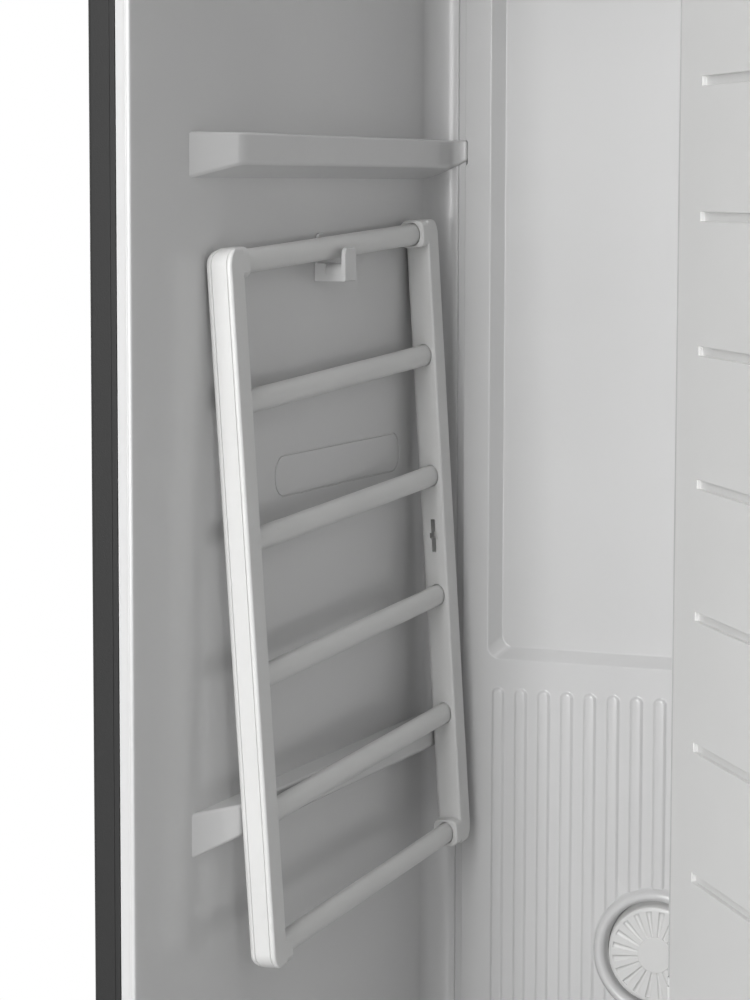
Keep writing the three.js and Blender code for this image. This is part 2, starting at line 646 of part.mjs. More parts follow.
function wallHook() {
  const back = -chamberHalfWidth + fit;
  const outer = back + hook.reach;
  const inner = outer - hook.lip;
  const front = rackMiddle.y + hook.offCentre - hook.width / 2;
  const middle = front + hook.width / 2;
  const axisZ = rackMiddle.z + (middle - rackMiddle.y) * Math.tan(rackTilt);
  const radius = rack.rungHeight / 2 + hook.cradleGap;
  const sides = [front, front + hook.width];
  const shape = new THREE.Shape();
  shape.moveTo(back, hook.bottom);
  shape.lineTo(outer - hook.lip, hook.bottom);
  shape.quadraticCurveTo(outer, hook.bottom, outer, hook.bottom + hook.lip * 2);
  shape.lineTo(outer, hook.lipTop - hook.lip / 2);
  shape.absarc(outer - hook.lip / 2, hook.lipTop - hook.lip / 2, hook.lip / 2, 0, Math.PI);
  shape.lineTo(inner, hook.bottom + hook.lip * 2);
  shape.lineTo(back + hook.block, hook.bottom + hook.lip * 2);
  shape.lineTo(back + hook.block, hook.blockTop);
  shape.lineTo(back, hook.blockTop);
  const upper = extruded("x", rectangle(
    sides, [hook.bottom - hook.cornerRadius, hook.lipTop], hook.cornerRadius), back, outer, 3);
  const body = extruded("y", shape, ...sides, 5).intersect(upper);
  const plate = extruded("x", rectangle(
    sides, [hook.bottom, hook.plateTop], hook.cornerRadius), back, back + hook.plate, 3);
  const saddleTop = axisZ - radius * hook.saddleShare;
  const saddle = extruded("x", polygon([
    [front + fit, hook.bottom + hook.lip], [front + hook.width - fit, hook.bottom + hook.lip],
    [front + hook.width - fit, saddleTop], [front + hook.scoopDepth, saddleTop],
    [front + fit, saddleTop - hook.scoopDrop],
  ]), back + hook.block / 2, outer - hook.lip / 2);
  const cradle = disc(
    "y", [rackMiddle.x, axisZ], radius, front - overrun, front + hook.width + overrun, 20);
  const mouth = block(
    [rackMiddle.x - radius, inner], [front - overrun, front + hook.width + overrun],
    [axisZ, axisZ + hook.reach]);
  return cut(join(body, saddle, plate), cradle, mouth);
}

const rackGroup = new THREE.Group();
rackGroup.position.copy(rackMiddle);
rackGroup.rotation.set(rackTilt, -rackLean, 0, "YXZ");
cabinet.add(rackGroup);

const rungCount = 6;
const rungHeights = span(rungCount).map((i) => -i * rack.pitch);

function rungOutline(z, gap) {
  return new THREE.Shape().absellipse(
    0, z, rack.rungWidth / 2 + gap, rack.rungHeight / 2 + gap, 0, Math.PI * 2);
}

// An upright bar seen from one side, with its corners on the low side rounded
function barOutline(half, low, high, radius) {
  const shape = new THREE.Shape();
  shape.moveTo(half, low);
  shape.lineTo(half, high);
  shape.absarc(radius - half, high - radius, radius, Math.PI / 2, Math.PI);
  shape.absarc(radius - half, low + radius, radius, Math.PI, Math.PI * 1.5);
  return shape;
}

// Each rail lies along its own z, with its middle plane at y = 0 and the other rail towards +y
function rail(withCross) {
  const half = rack.railThickness / 2;
  const wide = rack.railWidth / 2;
  const high = rack.collar / 2;
  const low = rungHeights[rungCount - 1] - high;
  const section = rectangle([-half, half], [-wide, wide], rack.edgeRadius);
  const stick = extruded("z", section, low, high, 1);
  const rounded = stick
    .intersect(extruded("y", barOutline(half, low, high, rack.wallRadius), -wide, wide, 3))
    .intersect(extruded("x", barOutline(wide, low, high, rack.outerRadius), -half, half, 3));
  const ends = [0, rungHeights[rungCount - 1]];
  const collars = ends.map((z) => extruded(
    "y", rectangle([-half, half], around(z, high), rack.collarRadius),
    wide - rack.edgeRadius, wide + rack.collarLength, 2));
  const sockets = rungHeights.map((z) => extruded(
    "y", rungOutline(z, fit), wide - rack.socketDepth, wide + rack.collarLength + overrun));
  const body = cut(join(rounded, ...collars), ...sockets);
  if (!withCross) return body;
  const middle = rungHeights[rungCount - 1] / 2;
  const stroke = rack.crossStroke / 2;
  const upright = block(
    [-stroke, stroke], [wide - rack.crossDepth, wide + overrun],
    [middle - rack.crossHeight / 2, middle + rack.crossHeight / 2]);
  const crossbar = block(
    [-rack.crossWidth / 2, rack.crossWidth / 2], [wide - rack.crossDepth, wide + overrun],
    [middle - stroke, middle + stroke]);
  return cut(body, upright, crossbar);
}

function rung(z) {
  const end = halfSpacing - rack.railWidth / 2 + rack.socketDepth - fit;
  return extruded("y", rungOutline(z, 0), -end, end);
}

// Tanks and their bay

const pocketHalf = (bayHalf - bay.side - bay.divider / 2) / 2;
const pocketX = bay.divider / 2 + pocketHalf;

function tankBay() {
  const back = bay.front + bay.depth;
  const outer = block([-bayHalf, bayHalf], [bay.front, back], [basePan.floor + fit, bayTop]);
  const frame = cut(outer, block(
    [-caseSide, caseSide], [0, basePan.front + basePan.floor + fit],
    [0, basePan.upstand + fit]));
  const under = block(
    [bay.wall - bayHalf, bayHalf - bay.wall], [0, back - bay.wall],
    [0, bay.floor - bay.wall]);
  const pockets = [-1, 1].map((side) => block(
    [side * pocketX - pocketHalf, side * pocketX + pocketHalf], [0, back - bay.wall],
    [bay.floor, pocketTop]));
  return cut(frame, under, ...pockets);
}

function tankBody() {
  const half = pocketHalf - tank.clearance;
  const front = bay.front - tank.clearance;
  const back = bay.front + bay.depth - bay.wall - tank.clearance;
  const bottom = bay.floor + fit;
  const top = bottom + tank.height;
  const outline = (inner) => rectangle(
    [inner - half, half - inner], [front + inner, back - inner], tank.cornerRadius - inner);
  const shell = cut(
    extruded("z", outline(0), bottom, top, 2),
    extruded("z", outline(tank.wall), bottom + tank.wall, top + overrun, 2));
  const gripTop = top - tankGrip.drop;
  const housing = block(
    [-tank.grip / 2 - tankGrip.shell, tank.grip / 2 + tankGrip.shell],
    [front + tank.wall / 2, front + tankGrip.depth + tankGrip.shell],
    [gripTop - tank.gripHeight - tankGrip.shell, gripTop + tankGrip.shell]);
  const finger = extruded("y", rectangle(
    [-tank.grip / 2, tank.grip / 2], [gripTop - tank.gripHeight, gripTop], tank.gripHeight / 4),
  front - overrun, front + tankGrip.depth, 2);
  return cut(join(shell, housing), finger);
}

function tankLid() {
  const half = pocketHalf - tank.clearance;
  const front = bay.front - tank.clearance;
  const back = bay.front + bay.depth - bay.wall - tank.clearance;
  const low = bay.floor + fit + tank.height + fit;
  const inner = tank.wall + fit * 2;
  const plate = extruded(
    "z", rectangle([-half, half], [front, back], tank.cornerRadius), low, low + lid.thickness, 2);
  const plug = extruded("z", rectangle(
    [inner - half, half - inner], [front + inner, back - inner], tank.cornerRadius - inner),
  low - lid.plug, low + lid.thickness / 2, 2);
  const filler = disc(
    "z", [0, (front + back) / 2], lid.filler,
    low + lid.thickness / 2, low + lid.thickness + lid.fillerHeight, 16);
  const hollow = block(
    [2 * inner - half, half - 2 * inner], [front + 2 * inner, back - 2 * inner],
    [low - lid.plug - overrun, low]);
  return join(cut(join(plate, plug), hollow), filler);
}

function lintFilter() {
  const back = filter.front + filter.width;
  const rim = block(
    around(0, filterHalf + filter.rim), [filter.front - filter.rim, back + filter.rim],
    [chamberFloor + fit, chamberFloor + fit + filter.rimHeight]);
  const box = block(
    [-filterHalf, filterHalf], [filter.front, back],
    [chamberFloor - filter.depth, chamberFloor + fit + filter.rimHeight]);
  const hollow = block(
    around(0, filterHalf - filter.wall), [filter.front + filter.wall, back - filter.wall],
    [chamberFloor - filter.depth + filter.wall, chamberFloor + filter.rimHeight + overrun]);
  const pitch = filter.slot * 6;
  const count = Math.floor((filterHalf * 2) / pitch);
  const slots = span(count).map((i) => {
    const x = (i - (count - 1) / 2) * pitch;
    return block(
      around(x, pitch / 3), [filter.front - overrun, back + overrun],
      [chamberFloor - filter.depth + filter.slot, chamberFloor - floorTray.thickness - filter.slot]);
  });
  const middle = filter.front + filter.width / 2;
  const handle = block(
    around(0, filter.slot * 4), [middle - filter.wall, middle],
    [chamberFloor - filter.depth + filter.wall / 2, chamberFloor + filter.rimHeight]);
  return join(cut(join(rim, box), hollow, ...slots), handle);
}

// Shaking hanger above the ceiling

const rodZ = ceilingTop + fit + guide.height;
const plateLow = rodZ + guide.rod + carriage.boreGap + carriage.thickness / 2;

function hangerBar() {
  const low = barTop - bar.height;
  const beam = block(around(0, barHalf), around(driveY, bar.width / 2), [low, barTop]);
  const notches = [-1, 0, 1].map((i) => block(
    [i * bar.pitch - bar.notch / 2, i * bar.pitch + bar.notch / 2],
    [driveY - bar.width, driveY + bar.width], [barTop - bar.notchDepth, barTop + overrun]));
  const arms = [-1, 1].map((side) => block(
    [side * armX - arm.width / 2, side * armX + arm.width / 2],
    [driveY - arm.thickness / 2, driveY + arm.thickness / 2], [low + bar.height / 2, plateLow - fit]));
  return join(cut(beam, ...notches), ...arms);
}

function hangerCarriage() {
  const high = plateLow + carriage.thickness;
  const reachX = armX + arm.width / 2;
  const long = block(around(0, reachX), around(driveY, carriage.width / 2), [plateLow, high]);
  const yoke = block(around(0, carriage.block), around(driveY, guide.halfSpan), [plateLow, high]);
  const blocks = [-1, 1].map((side) => {
    const y = driveY + side * guide.halfSpan;
    return block(
      [-carriage.block, carriage.block], [y - carriage.stem / 2, y + carriage.stem / 2],
      [rodZ - guide.rod * 2, high]);
  });
  const bores = [-1, 1].map((side) => disc(
    "x", [driveY + side * guide.halfSpan, rodZ], guide.rod + carriage.boreGap,
    -carriage.block - overrun, carriage.block + overrun, 12));
  const slotHalf = drive.wheel / 2 + drive.pin + carriage.boreGap;
  const slot = block(
    [-drive.pin - carriage.boreGap, drive.pin + carriage.boreGap], [driveY - slotHalf, driveY + slotHalf],
    [plateLow - overrun, high + overrun]);
  return cut(join(long, yoke, ...blocks), ...bores, slot);
}

function hangerGuide() {
  const base = ceilingTop + fit;
  const reach = guide.halfLength + guide.post / 2;
  const sole = [base, base + guide.plate];
  const frame = cut(
    block(around(0, reach), around(driveY, guide.halfSpan + guide.post / 2), sole),
    block(
      around(0, reach - guide.post), around(driveY, guide.halfSpan - guide.post / 2),
      [base - overrun, base + guide.plate + overrun]));
  const carriers = [-1, 1].flatMap((side) => {
    const y = driveY + side * guide.halfSpan;
    const rod = disc("x", [y, rodZ], guide.rod, -guide.halfLength, guide.halfLength, 12);
    const posts = [-1, 1].map((end) => block(
      around(end * guide.halfLength, guide.post / 2), around(y, guide.post / 2 - guide.inward),
      [base + guide.plate / 2, rodZ + guide.rod * guide.capShare]));
    return [rod, ...posts];
  });
  return join(frame, ...carriers);
}

const motorTop = ceilingTop + fit + drive.motorHeight;
const wheelLow = motorTop + fit;
const crankRadius = carriage.stroke;

function shakerMotor() {
  const base = ceilingTop + fit;
  return turned("z", [
    [0, base], [drive.motor, base], [drive.motor, motorTop - drive.shaft],
    [drive.motor - drive.shaft, motorTop], [drive.shaft, motorTop],
    [drive.shaft, wheelLow + drive.wheelHeight / 2], [0, wheelLow + drive.wheelHeight / 2],
  ], [0, driveY, 0], 16);
}

function crankWheel() {
  const top = wheelLow + drive.wheelHeight;
  const wheel = turned("z", [
    [drive.shaft + fit, wheelLow], [drive.wheel, wheelLow], [drive.wheel, top], [drive.shaft, top],
    [0, top], [0, top - drive.wheelHeight / 3], [drive.shaft + fit, top - drive.wheelHeight / 3],
    [drive.shaft + fit, wheelLow],
  ], [0, driveY, 0], 16);
  const pin = disc(
    "z", [crankRadius, driveY], drive.pin, top - drive.wheelHeight / 2, plateLow - crankPinGap, 10);
  return join(wheel, pin);
}

function controlBoard() {
  const base = ceilingTop + fit;
  const [boardX, boardY] = [chamberHalfWidth - board.sideMargin, chamberDepth - board.rearMargin];
  const [x, y] = [around(boardX, board.halfWidth), around(boardY, board.halfDepth)];
  const inner = board.tray;
  const tray = cut(
    extruded("z", rectangle(x, y, board.tray * 2), base, base + board.wall, 2),
    block(
      [x[0] + inner, x[1] - inner], [y[0] + inner, y[1] - inner],
      [base + board.tray, base + board.wall + overrun]));
  const chip = board.parts;
  const chips = board.chipShares.map(([i, j]) => block(
    around(boardX + i * chip, chip / 2), around(boardY + j * chip, chip / 2),
    [base + board.tray / 2, base + chip]));
  return join(tray, ...chips);
}

// Heat pump, steam and water, on the base pan

const panFloor = basePan.floor + fit;
const ductFloor = panFloor + duct.floor;
const impellerBack = scrollY - scroll.depth / 2 + scroll.wall + duct.wall + impeller.length;

// The spiral runs from above the shaft round to its right, where it turns up into the neck
function scrollOutline(inward, above) {
  const points = span(scroll.steps + 1).map((i) => {
    const share = i / scroll.steps;
    const angle = Math.PI / 2 + (share * Math.PI * 3) / 2;
    const radius = scroll.radius + scroll.grow * share - inward;
    return [scrollX + radius * Math.cos(angle), scroll.z + radius * Math.sin(angle)];
  });
  const right = scrollX + scroll.radius + scroll.grow - inward;
  const left = scrollX + inward;
  const top = scroll.z + scroll.radius + scroll.neck + above;
  return [...points, [right, top], [left, top], [left, scroll.z + scroll.radius]];
}

function heatPumpBase() {
  const low = panFloor;
  const tray = cut(
    block([ductLeft, ductRight], [duct.front, ductBack], [low, low + duct.height]),
    block(
      [ductLeft + duct.wall, ductRight - duct.wall], [duct.front + duct.wall, ductBack - duct.wall],
      [ductFloor, low + duct.height + overrun]));
  const y = [scrollY - scroll.depth / 2, scrollY + scroll.depth / 2];
  const outer = extruded("y", polygon(scrollOutline(0, 0)), ...y);
  const air = polygon(scrollOutline(scroll.wall, overrun));
  const inner = extruded("y", air, y[0] + scroll.wall, y[1] - scroll.wall);
  const eye = disc("y", [scrollX, scroll.z], scroll.eye, y[0] - overrun, y[0] + scroll.wall + overrun, 20);
  const shaft = disc(
    "y", [scrollX, scroll.z], impeller.shaft, impellerBack - impeller.hub, y[1] + overrun, 12);
  const stand = block(
    around(scrollX, scroll.eye), y, [ductFloor - duct.floor / 2, scroll.z - scroll.radius]);
  const motor = disc(
    "y", [scrollX, scroll.z], scroll.eye * scroll.motorShare,
    y[1] - scroll.wall / 2, y[1] + duct.coilGap * 4, 16);
  return join(tray, cut(join(outer, stand), inner, eye), motor, shaft);
}

function blowerImpeller() {
  const front = impellerBack - impeller.length;
  const back = impellerBack;
  const disk = turned("y", [
    [impeller.shaft + fit, back - impeller.hub], [impeller.hub, back - impeller.hub],
    [impeller.hub, back - impeller.plate], [impeller.radius, back - impeller.plate],
    [impeller.radius, back],
    [impeller.shaft + fit, back], [impeller.shaft + fit, back - impeller.hub],
  ], [0, 0, 0], 20);
  const ringInner = impeller.radius - impeller.blade * 2;
  const shroud = turned("y", [
    [ringInner, front], [impeller.radius, front], [impeller.radius, front + impeller.plate],
    [ringInner, front + impeller.plate], [ringInner, front],
  ], [0, 0, 0], 20);
  const blades = span(impeller.blades).map((i) => {
    const angle = (i / impeller.blades) * Math.PI * 2;
    const outer = impeller.radius - impeller.blade / 2;
    const inner = outer - impeller.chord;
    const sweep = degrees(impeller.sweepAngle);
    const point = (radius, turn) => [radius * Math.cos(angle + turn), radius * Math.sin(angle + turn)];
    const blade = polygon([
      point(inner, 0), point(outer, sweep), point(outer, sweep + impeller.blade / outer),
      point(inner, impeller.blade / inner),
    ]);
    return extruded("y", blade, front + impeller.plate / 2, back - impeller.plate / 2);
  });
  return join(disk, shroud, ...blades);
}

function heatExchanger(front) {
  const low = ductFloor + fit;
  const left = scrollX - coil.width / 2;
  const x = [left, left + coil.width];
  const y = [front, front + coil.depth];
  const pitch = (coil.width - coil.end * 2) / coil.fins;
  const gapWidth = pitch * coil.slotShare;
  const slots = span(coil.fins).flatMap((i) => {
    const start = left + coil.end + i * pitch + (pitch - gapWidth) / 2;
    const z = [low + coil.end, low + coil.height - coil.end];
    const middle = front + coil.depth / 2;
    return [
      block([start, start + gapWidth], [front - overrun, middle - coil.web / 2], z),
      block([start, start + gapWidth], [middle + coil.web / 2, front + coil.depth + overrun], z),
    ];
  });
  const rows = [front + coil.depth * coil.rowShare, front + coil.depth * (1 - coil.rowShare)];
  const bends = span(2).map((i) => {
    const z = low + (coil.height * (i + 1)) / 3;
    const curve = new THREE.CatmullRomCurve3([
      new THREE.Vector3(x[1] - coil.end / 2, rows[0], z),
      new THREE.Vector3(x[1] + coil.tube, rows[0], z),
      new THREE.Vector3(x[1] + coil.tube * 3, front + coil.depth / 2, z),
      new THREE.Vector3(x[1] + coil.tube, rows[1], z),
      new THREE.Vector3(x[1] - coil.end / 2, rows[1], z),
    ]);
    const section = new THREE.Shape().absarc(0, 0, coil.tube, 0, Math.PI * 2);
    return solid(new THREE.ExtrudeGeometry(section, { steps: 5, curveSegments: 3, extrudePath: curve }));
  });
  return join(cut(block(x, y, [low, low + coil.height]), ...slots), ...bends);
}

function compressorBody() {
  const low = panFloor;
  const { radius } = compressor;
  const atShares = (from, sign, list) => list.map(([out, up]) => [out * radius, from + sign * up * radius]);
  const base = low + compressor.footHeight;
  const top = base + compressor.height;
  const shell = turned("z", [
    [0, base], ...atShares(base, 1, compressor.bottomShares),
    ...atShares(top, -1, compressor.topShares), [0, top],
  ], [compressorX, compressor.y, 0], 16);
  const feet = span(3).map((i) => {
    const angle = degrees(90 + i * 120);
    const place = [compressorX + radius * Math.cos(angle), compressor.y + radius * Math.sin(angle)];
    return disc("z", place, compressor.foot, low, base + compressor.footHeight, 10);
  });
  const stub = disc(
    "z", [compressorX + radius * compressor.stubShare, compressor.y], compressor.stub,
    top - compressor.stub, top + compressor.stub * 3, 10);
  return join(shell, ...feet, stub);
}

function steamGenerator() {
  const x = [outletX - boiler.width / 2, outletX + boiler.width / 2];
  const y = [outletY - boiler.depth / 2, outletY + boiler.depth / 2];
  const can = extruded("z", rectangle(x, y, boiler.ring), boiler.floor, boiler.floor + boiler.height, 1);
  const ribs = span(3).map((i) => {
    const z = boiler.floor + ((2 * i + 1) * boiler.height) / 6;
    const out = boiler.leg;
    const band = rectangle([x[0] - out, x[1] + out], [y[0] - out, y[1] + out], boiler.ring);
    return extruded("z", band, z, z + boiler.leg, 1);
  });
  const legY = [y[0] + boiler.ring, y[1] - boiler.ring];
  const legs = [-1, 1].map((side) => {
    const at = side < 0 ? x[0] : x[1] - boiler.leg;
    return block([at, at + boiler.leg], legY, [panFloor, boiler.floor + boiler.leg]);
  });
  const feet = [-1, 1].map((side) => {
    const at = side < 0 ? x[0] : x[1];
    return block(around(at, boiler.ring / 2), legY, [panFloor, panFloor + boiler.leg]);
  });
  const top = boiler.floor + boiler.height;
  const stub = disc(
    "z", [outletX, outletY], boiler.stub, top - boiler.leg, top + boiler.stub, 12);
  return join(can, ...ribs, ...legs, ...feet, stub);
}

function steamPipe() {
  const low = boiler.floor + boiler.height + boiler.stub + fit;
  const high = trayBottom - fit;
  const [start, middle, end] = pipe.riseShares.map((share) => low + (high - low) * share);
  const [x, y] = [outletX, outletY];
  const curve = new THREE.CatmullRomCurve3([
    new THREE.Vector3(x, y, low), new THREE.Vector3(x, y, start),
    new THREE.Vector3(x - pipe.bow, y - pipe.bow, middle),
    new THREE.Vector3(x, y, end), new THREE.Vector3(x, y, high),
  ]);
  const wall = new THREE.Shape().absarc(0, 0, boiler.stub, 0, Math.PI * 2);
  wall.holes.push(new THREE.Path().absarc(0, 0, boiler.stub * pipe.boreShare, 0, Math.PI * 2, true));
  const hose = solid(new THREE.ExtrudeGeometry(wall, { steps: 6, curveSegments: 4, extrudePath: curve }));
  const reach = boiler.stub + pipe.bow * 2;
  return hose.intersect(block(around(x, reach), around(y, reach), [low, high]));
}

function waterPump() {
  const low = panFloor + duct.floor;
  const z = low + pump.foot + pump.radius;
  const can = disc("y", [pumpX, z], pump.radius, pump.y, pump.y + pump.length, 16);
  const nose = disc(
    "y", [pumpX, z], pump.radius * pump.noseShare, pump.y - pump.radius, pump.y + overrun, 16);
  const port = disc(
    "z", [pumpX, pump.y - pump.radius / 2], pump.foot, z, z + pump.radius * pump.portShare, 10);
  const base = block(
    around(pumpX, pump.radius), [pump.y, pump.y + pump.length], [low + fit, z - pump.radius / 2]);
  return join(can, nose, port, base);
}

function powerInlet() {
  const [x, z] = [inletX, inlet.z];
  const flangePlate = extruded("y", rectangle(
    [x - inlet.width / 2 - inlet.flange, x + inlet.width / 2 + inlet.flange],
    [z - inlet.height / 2 - inlet.flange, z + inlet.height / 2 + inlet.flange], inlet.flange),
  coverFront + sheet + fit, caseDepth, 3);
  const body = extruded("y", rectangle(
    [x - inlet.width / 2, x + inlet.width / 2], [z - inlet.height / 2, z + inlet.height / 2]),
  caseDepth - inlet.depth, caseDepth - sheet / 2);
  const wall = inlet.flange / 2;
  const mouth = extruded("y", rectangle(
    around(x, inlet.width / 2 - wall), around(z, inlet.height / 2 - wall)),
  caseDepth - inlet.recess, caseDepth + overrun);
  const pins = [-1, 0, 1].map((i) => disc(
    "y", [x + (i * inlet.width) / 5, z], inlet.pin,
    caseDepth - inlet.recess - overrun, caseDepth - inlet.pin, 8));
  return join(cut(join(flangePlate, body), mouth), ...pins);
}

// Door, drawn closed, then turned open about its hinge

const doorBack = -door.gap;
const doorFront = doorBack - door.thickness;
const doorTop = caseHeight - door.topGap;
const linerFront = doorBack - door.liner;
const bodyBack = linerFront - fit;
const glassBack = doorFront + door.glass;
const gripZ = [grip.middle - grip.height / 2, grip.middle + grip.height / 2];

function doorGlass() {
  const shape = rectangle([-caseSide, caseSide], [door.bottom, doorTop], door.cornerRadius);
  return extruded("y", shape, doorFront, glassBack, 3);
}

function doorFrame() {
  const edge = caseSide - fit;
  const y = [glassBack + fit, bodyBack];
  const outer = extruded(
    "y", rectangle([-edge, edge], [door.bottom + fit, doorTop - fit], door.cornerRadius), ...y, 2);
  const hollow = block(
    [door.frame - edge, edge - door.frame], [y[0] + door.liner, y[1] + overrun],
    [door.bottom + door.bar, doorTop - door.bar]);
  const pinHole = disc(
    "z", [hingeX, hinge.y], hinge.pin + hinge.pinGap,
    doorTop - hinge.pinLength - overrun, doorTop + overrun, 16);
  const lowHole = disc(
    "z", [hingeX, hinge.y], hinge.pin + hinge.pinGap,
    door.bottom - overrun, door.bottom + hinge.pinLength + overrun, 16);
  const fingers = block(
    [-edge - overrun, grip.width - edge], [bodyBack - grip.depth, bodyBack + overrun], gripZ);
  return cut(outer, hollow, pinHole, lowHole, fingers);
}

const plateauLow = chamberFloor + door.plateauInset;
const plateauHigh = chamberCeiling - door.plateauInset;
const plateauFace = linerFront + door.plateau;

const boardFront = plateauFace + fit;
const pressHingeX = pressHalf + press.knuckle * 2;
const pressHingeY = boardFront + press.knuckle;

const knucklePlaces = press.knuckleShares.map((share) => press.bottom + share * (pressTop - press.bottom));

function doorLiner() {
  const edge = caseSide - fit;
  const plate = extruded("y", rectangle(
    [-edge, edge], [door.bottom + fit, doorTop - fit], door.cornerRadius), linerFront, doorBack, 2);
  const radius = door.plateau;
  const outline = (inner) => rectangle(
    around(0, plateauHalf - inner), [plateauLow + inner, plateauHigh - inner], radius);
  const bulge = extruded("y", outline(0), linerFront, plateauFace, 3);
  const hollow = extruded("y", outline(door.liner), linerFront - overrun, plateauFace - door.liner, 2);
  const fingers = block(
    [-edge - overrun, grip.width - edge], [linerFront - overrun, doorBack + overrun], gripZ);
  const ears = knucklePlaces.flatMap((z) => [-1, 1].map((side) => {
    const near = z + side * (press.knuckleHeight / 2 + fit);
    const height = [near, near + side * press.knuckle].sort((a, b) => a - b);
    const seat = [plateauFace - door.liner / 2, pressHingeY];
    return join(
      block([pressHingeX - press.knuckle, pressHingeX + press.knuckle], seat, height),
      disc("z", [pressHingeX, pressHingeY], press.knuckle, ...height, 8));
  }));
  return cut(join(plate, bulge, ...ears), hollow, fingers);
}

function doorGasket() {
  const low = chamberFloor - floorTray.lip / 2;
  const high = chamberCeiling + ceiling.thickness;
  const section = gasketOuter - gasketInner;
  const outer = rectangle([-gasketOuter, gasketOuter], [low, high], section * 2);
  const inner = rectangle([-gasketInner, gasketInner], [low + section, high - section], section);
  const [front, back] = [doorBack + fit, -gasket.squeeze];
  return cut(
    extruded("y", outer, front, back, 3), extruded("y", inner, front - overrun, back + overrun, 3));
}

function pressClamp() {
  const z = [clampLow, clampLow + clamp.height];
  const y = [plateauFace + fit, plateauFace + fit + clamp.depth];
  const whole = extruded("y", rectangle([-clampHalf, clampHalf], z, clamp.lip), ...y, 3);
  const mouth = block(
    [-clampHalf - overrun, clampHalf + overrun], [y[0] + clamp.lip, y[1] - clamp.lip],
    [z[0] - overrun, z[1] - clamp.lip * 2]);
  return cut(whole, mouth);
}

function pressBoard() {
  const half = pressHalf;
  const front = boardFront;
  const plate = extruded("y", rectangle(
    [-half, half], [press.bottom, pressTop], press.cornerRadius),
  front, front + press.thickness, 3);
  const count = Math.floor((pressTop - press.bottom - press.slotPitch * 2) / press.slotPitch);
  const slots = span(count).map((i) => {
    const z = press.bottom + press.slotPitch * (i + 1.5);
    return extruded("y", rectangle(
      [press.cornerRadius * 2 - half, half - press.cornerRadius * 2], [z, z + press.slot]),
    front + press.thickness - press.slot / 2, front + press.thickness + overrun);
  });
  const arms = knucklePlaces.flatMap((z) => {
    const height = [z - press.knuckleHeight / 2, z + press.knuckleHeight / 2];
    return [
      block([half - press.knuckle, pressHingeX], around(pressHingeY, press.slot / 2), height),
      disc("z", [pressHingeX, pressHingeY], press.knuckle - fit, ...height, 8),
    ];
  });
  return join(cut(plate, ...slots), ...arms);
}

function upperHinge() {
  const z = [caseHeight + fit, caseHeight + fit + hinge.plate];
  const plate = extruded("z", rectangle(
    [hingeX - hinge.halfWidth * 2, hingeX + hinge.halfWidth], [hinge.y - hinge.halfWidth, hinge.reach],
    hinge.halfWidth / 2), ...z, 4);
  const pin = disc("z", [hingeX, hinge.y], hinge.pin, doorTop - hinge.pinLength, z[0] + fit, 16);
  return join(plate, pin);
}

function lowerHinge() {
  const z = [door.bottom - door.topGap - hinge.plate, door.bottom - door.topGap];
  const plate = extruded("z", rectangle(
    [hingeX - hinge.halfWidth, hingeX + hinge.halfWidth], [hinge.y - hinge.halfWidth / 2, -fit],
    hinge.pin), ...z, 4);
  const tab = block(
    [hingeX - hinge.halfWidth, hingeX + hinge.halfWidth], [-fit - sheet * 2, -fit], [fit, z[1]]);
  const pin = disc("z", [hingeX, hinge.y], hinge.pin, z[1] - fit, door.bottom + hinge.pinLength, 16);
  return join(plate, tab, pin);
}

// The assembly

const leftPanel = sidePanel();
piece("left_side_panel", leftPanel, "case");
piece("right_side_panel", mirroredInX(leftPanel), "case");
piece("top_panel", block([-caseSide, caseSide], [0, caseDepth], [roof, caseHeight]), "case");
piece("upper_fascia", frontPlate(ceilingTop + flange.rise + fit, roof - fit), "case");
piece("kick_plate", kickPlate(), "case");
piece("back_cover", backCover(), "galvanised");
piece("base_pan", basePanBody(), "galvanised");
for (const [name, side, y] of footPlaces) {
  piece(`levelling_foot_${name}`, levellingFoot(), "rubber").position.set(side * footX, y, 0);
}

const foamSpan = [chamberFloor, chamberCeiling];
const foamDepth = [sideReturn.flange * 2, chamberDepth - cove.radius];
const foam = block([-caseSide + sheet + fit, -linerOuter - fit], foamDepth, foamSpan);
piece("insulation_left", foam, "foam");
piece("insulation_right", mirroredInX(foam), "foam");

const plainWall = linerWallBody();
piece("liner_left_wall", cut(plainWall, obroundCut()), "liner");
piece("liner_right_wall", mirroredInX(cut(plainWall, obroundCut())), "liner");
piece("back_panel", backPanelBody(), "liner");
piece("ceiling_panel", ceilingBody(), "liner");
piece("floor_tray", floorTrayBody(), "liner");
piece("steam_outlet", steamOutletBody(), "dark");
piece("lamp_lens", lampLens(), "clear");
piece("wall_hook", wallHook(), "liner");
piece("scent_sachet", scentSachet(), "foam");
piece("scent_cap", scentCap(), "rack").position.set(0, 0, ventHeight);

const frontRail = piece("rack_rail_front", rail(false), "rack", rackGroup);
frontRail.position.set(0, -halfSpacing, 0);
const rearRail = piece("rack_rail_rear", mirroredInY(rail(true)), "rack", rackGroup);
rearRail.position.set(0, halfSpacing, 0);
rungHeights.forEach((z, i) => piece(`rack_rung_${i + 1}`, rung(z), "rack", rackGroup));

piece("tank_bay", tankBay(), "dark");
piece("supply_tank", tankBody(), "clear").position.x = -pocketX;
piece("supply_tank_lid", tankLid(), "dark").position.x = -pocketX;
piece("drain_tank", tankBody(), "clear").position.x = pocketX;
piece("drain_tank_lid", tankLid(), "dark").position.x = pocketX;
piece("lint_filter", lintFilter(), "dark");

piece("hanger_bar", hangerBar(), "metal");
piece("hanger_carriage", hangerCarriage(), "dark");
piece("hanger_guide", hangerGuide(), "metal");
piece("shaker_motor", shakerMotor(), "galvanised");
piece("crank_wheel", crankWheel(), "dark");
piece("control_board", controlBoard(), "board");

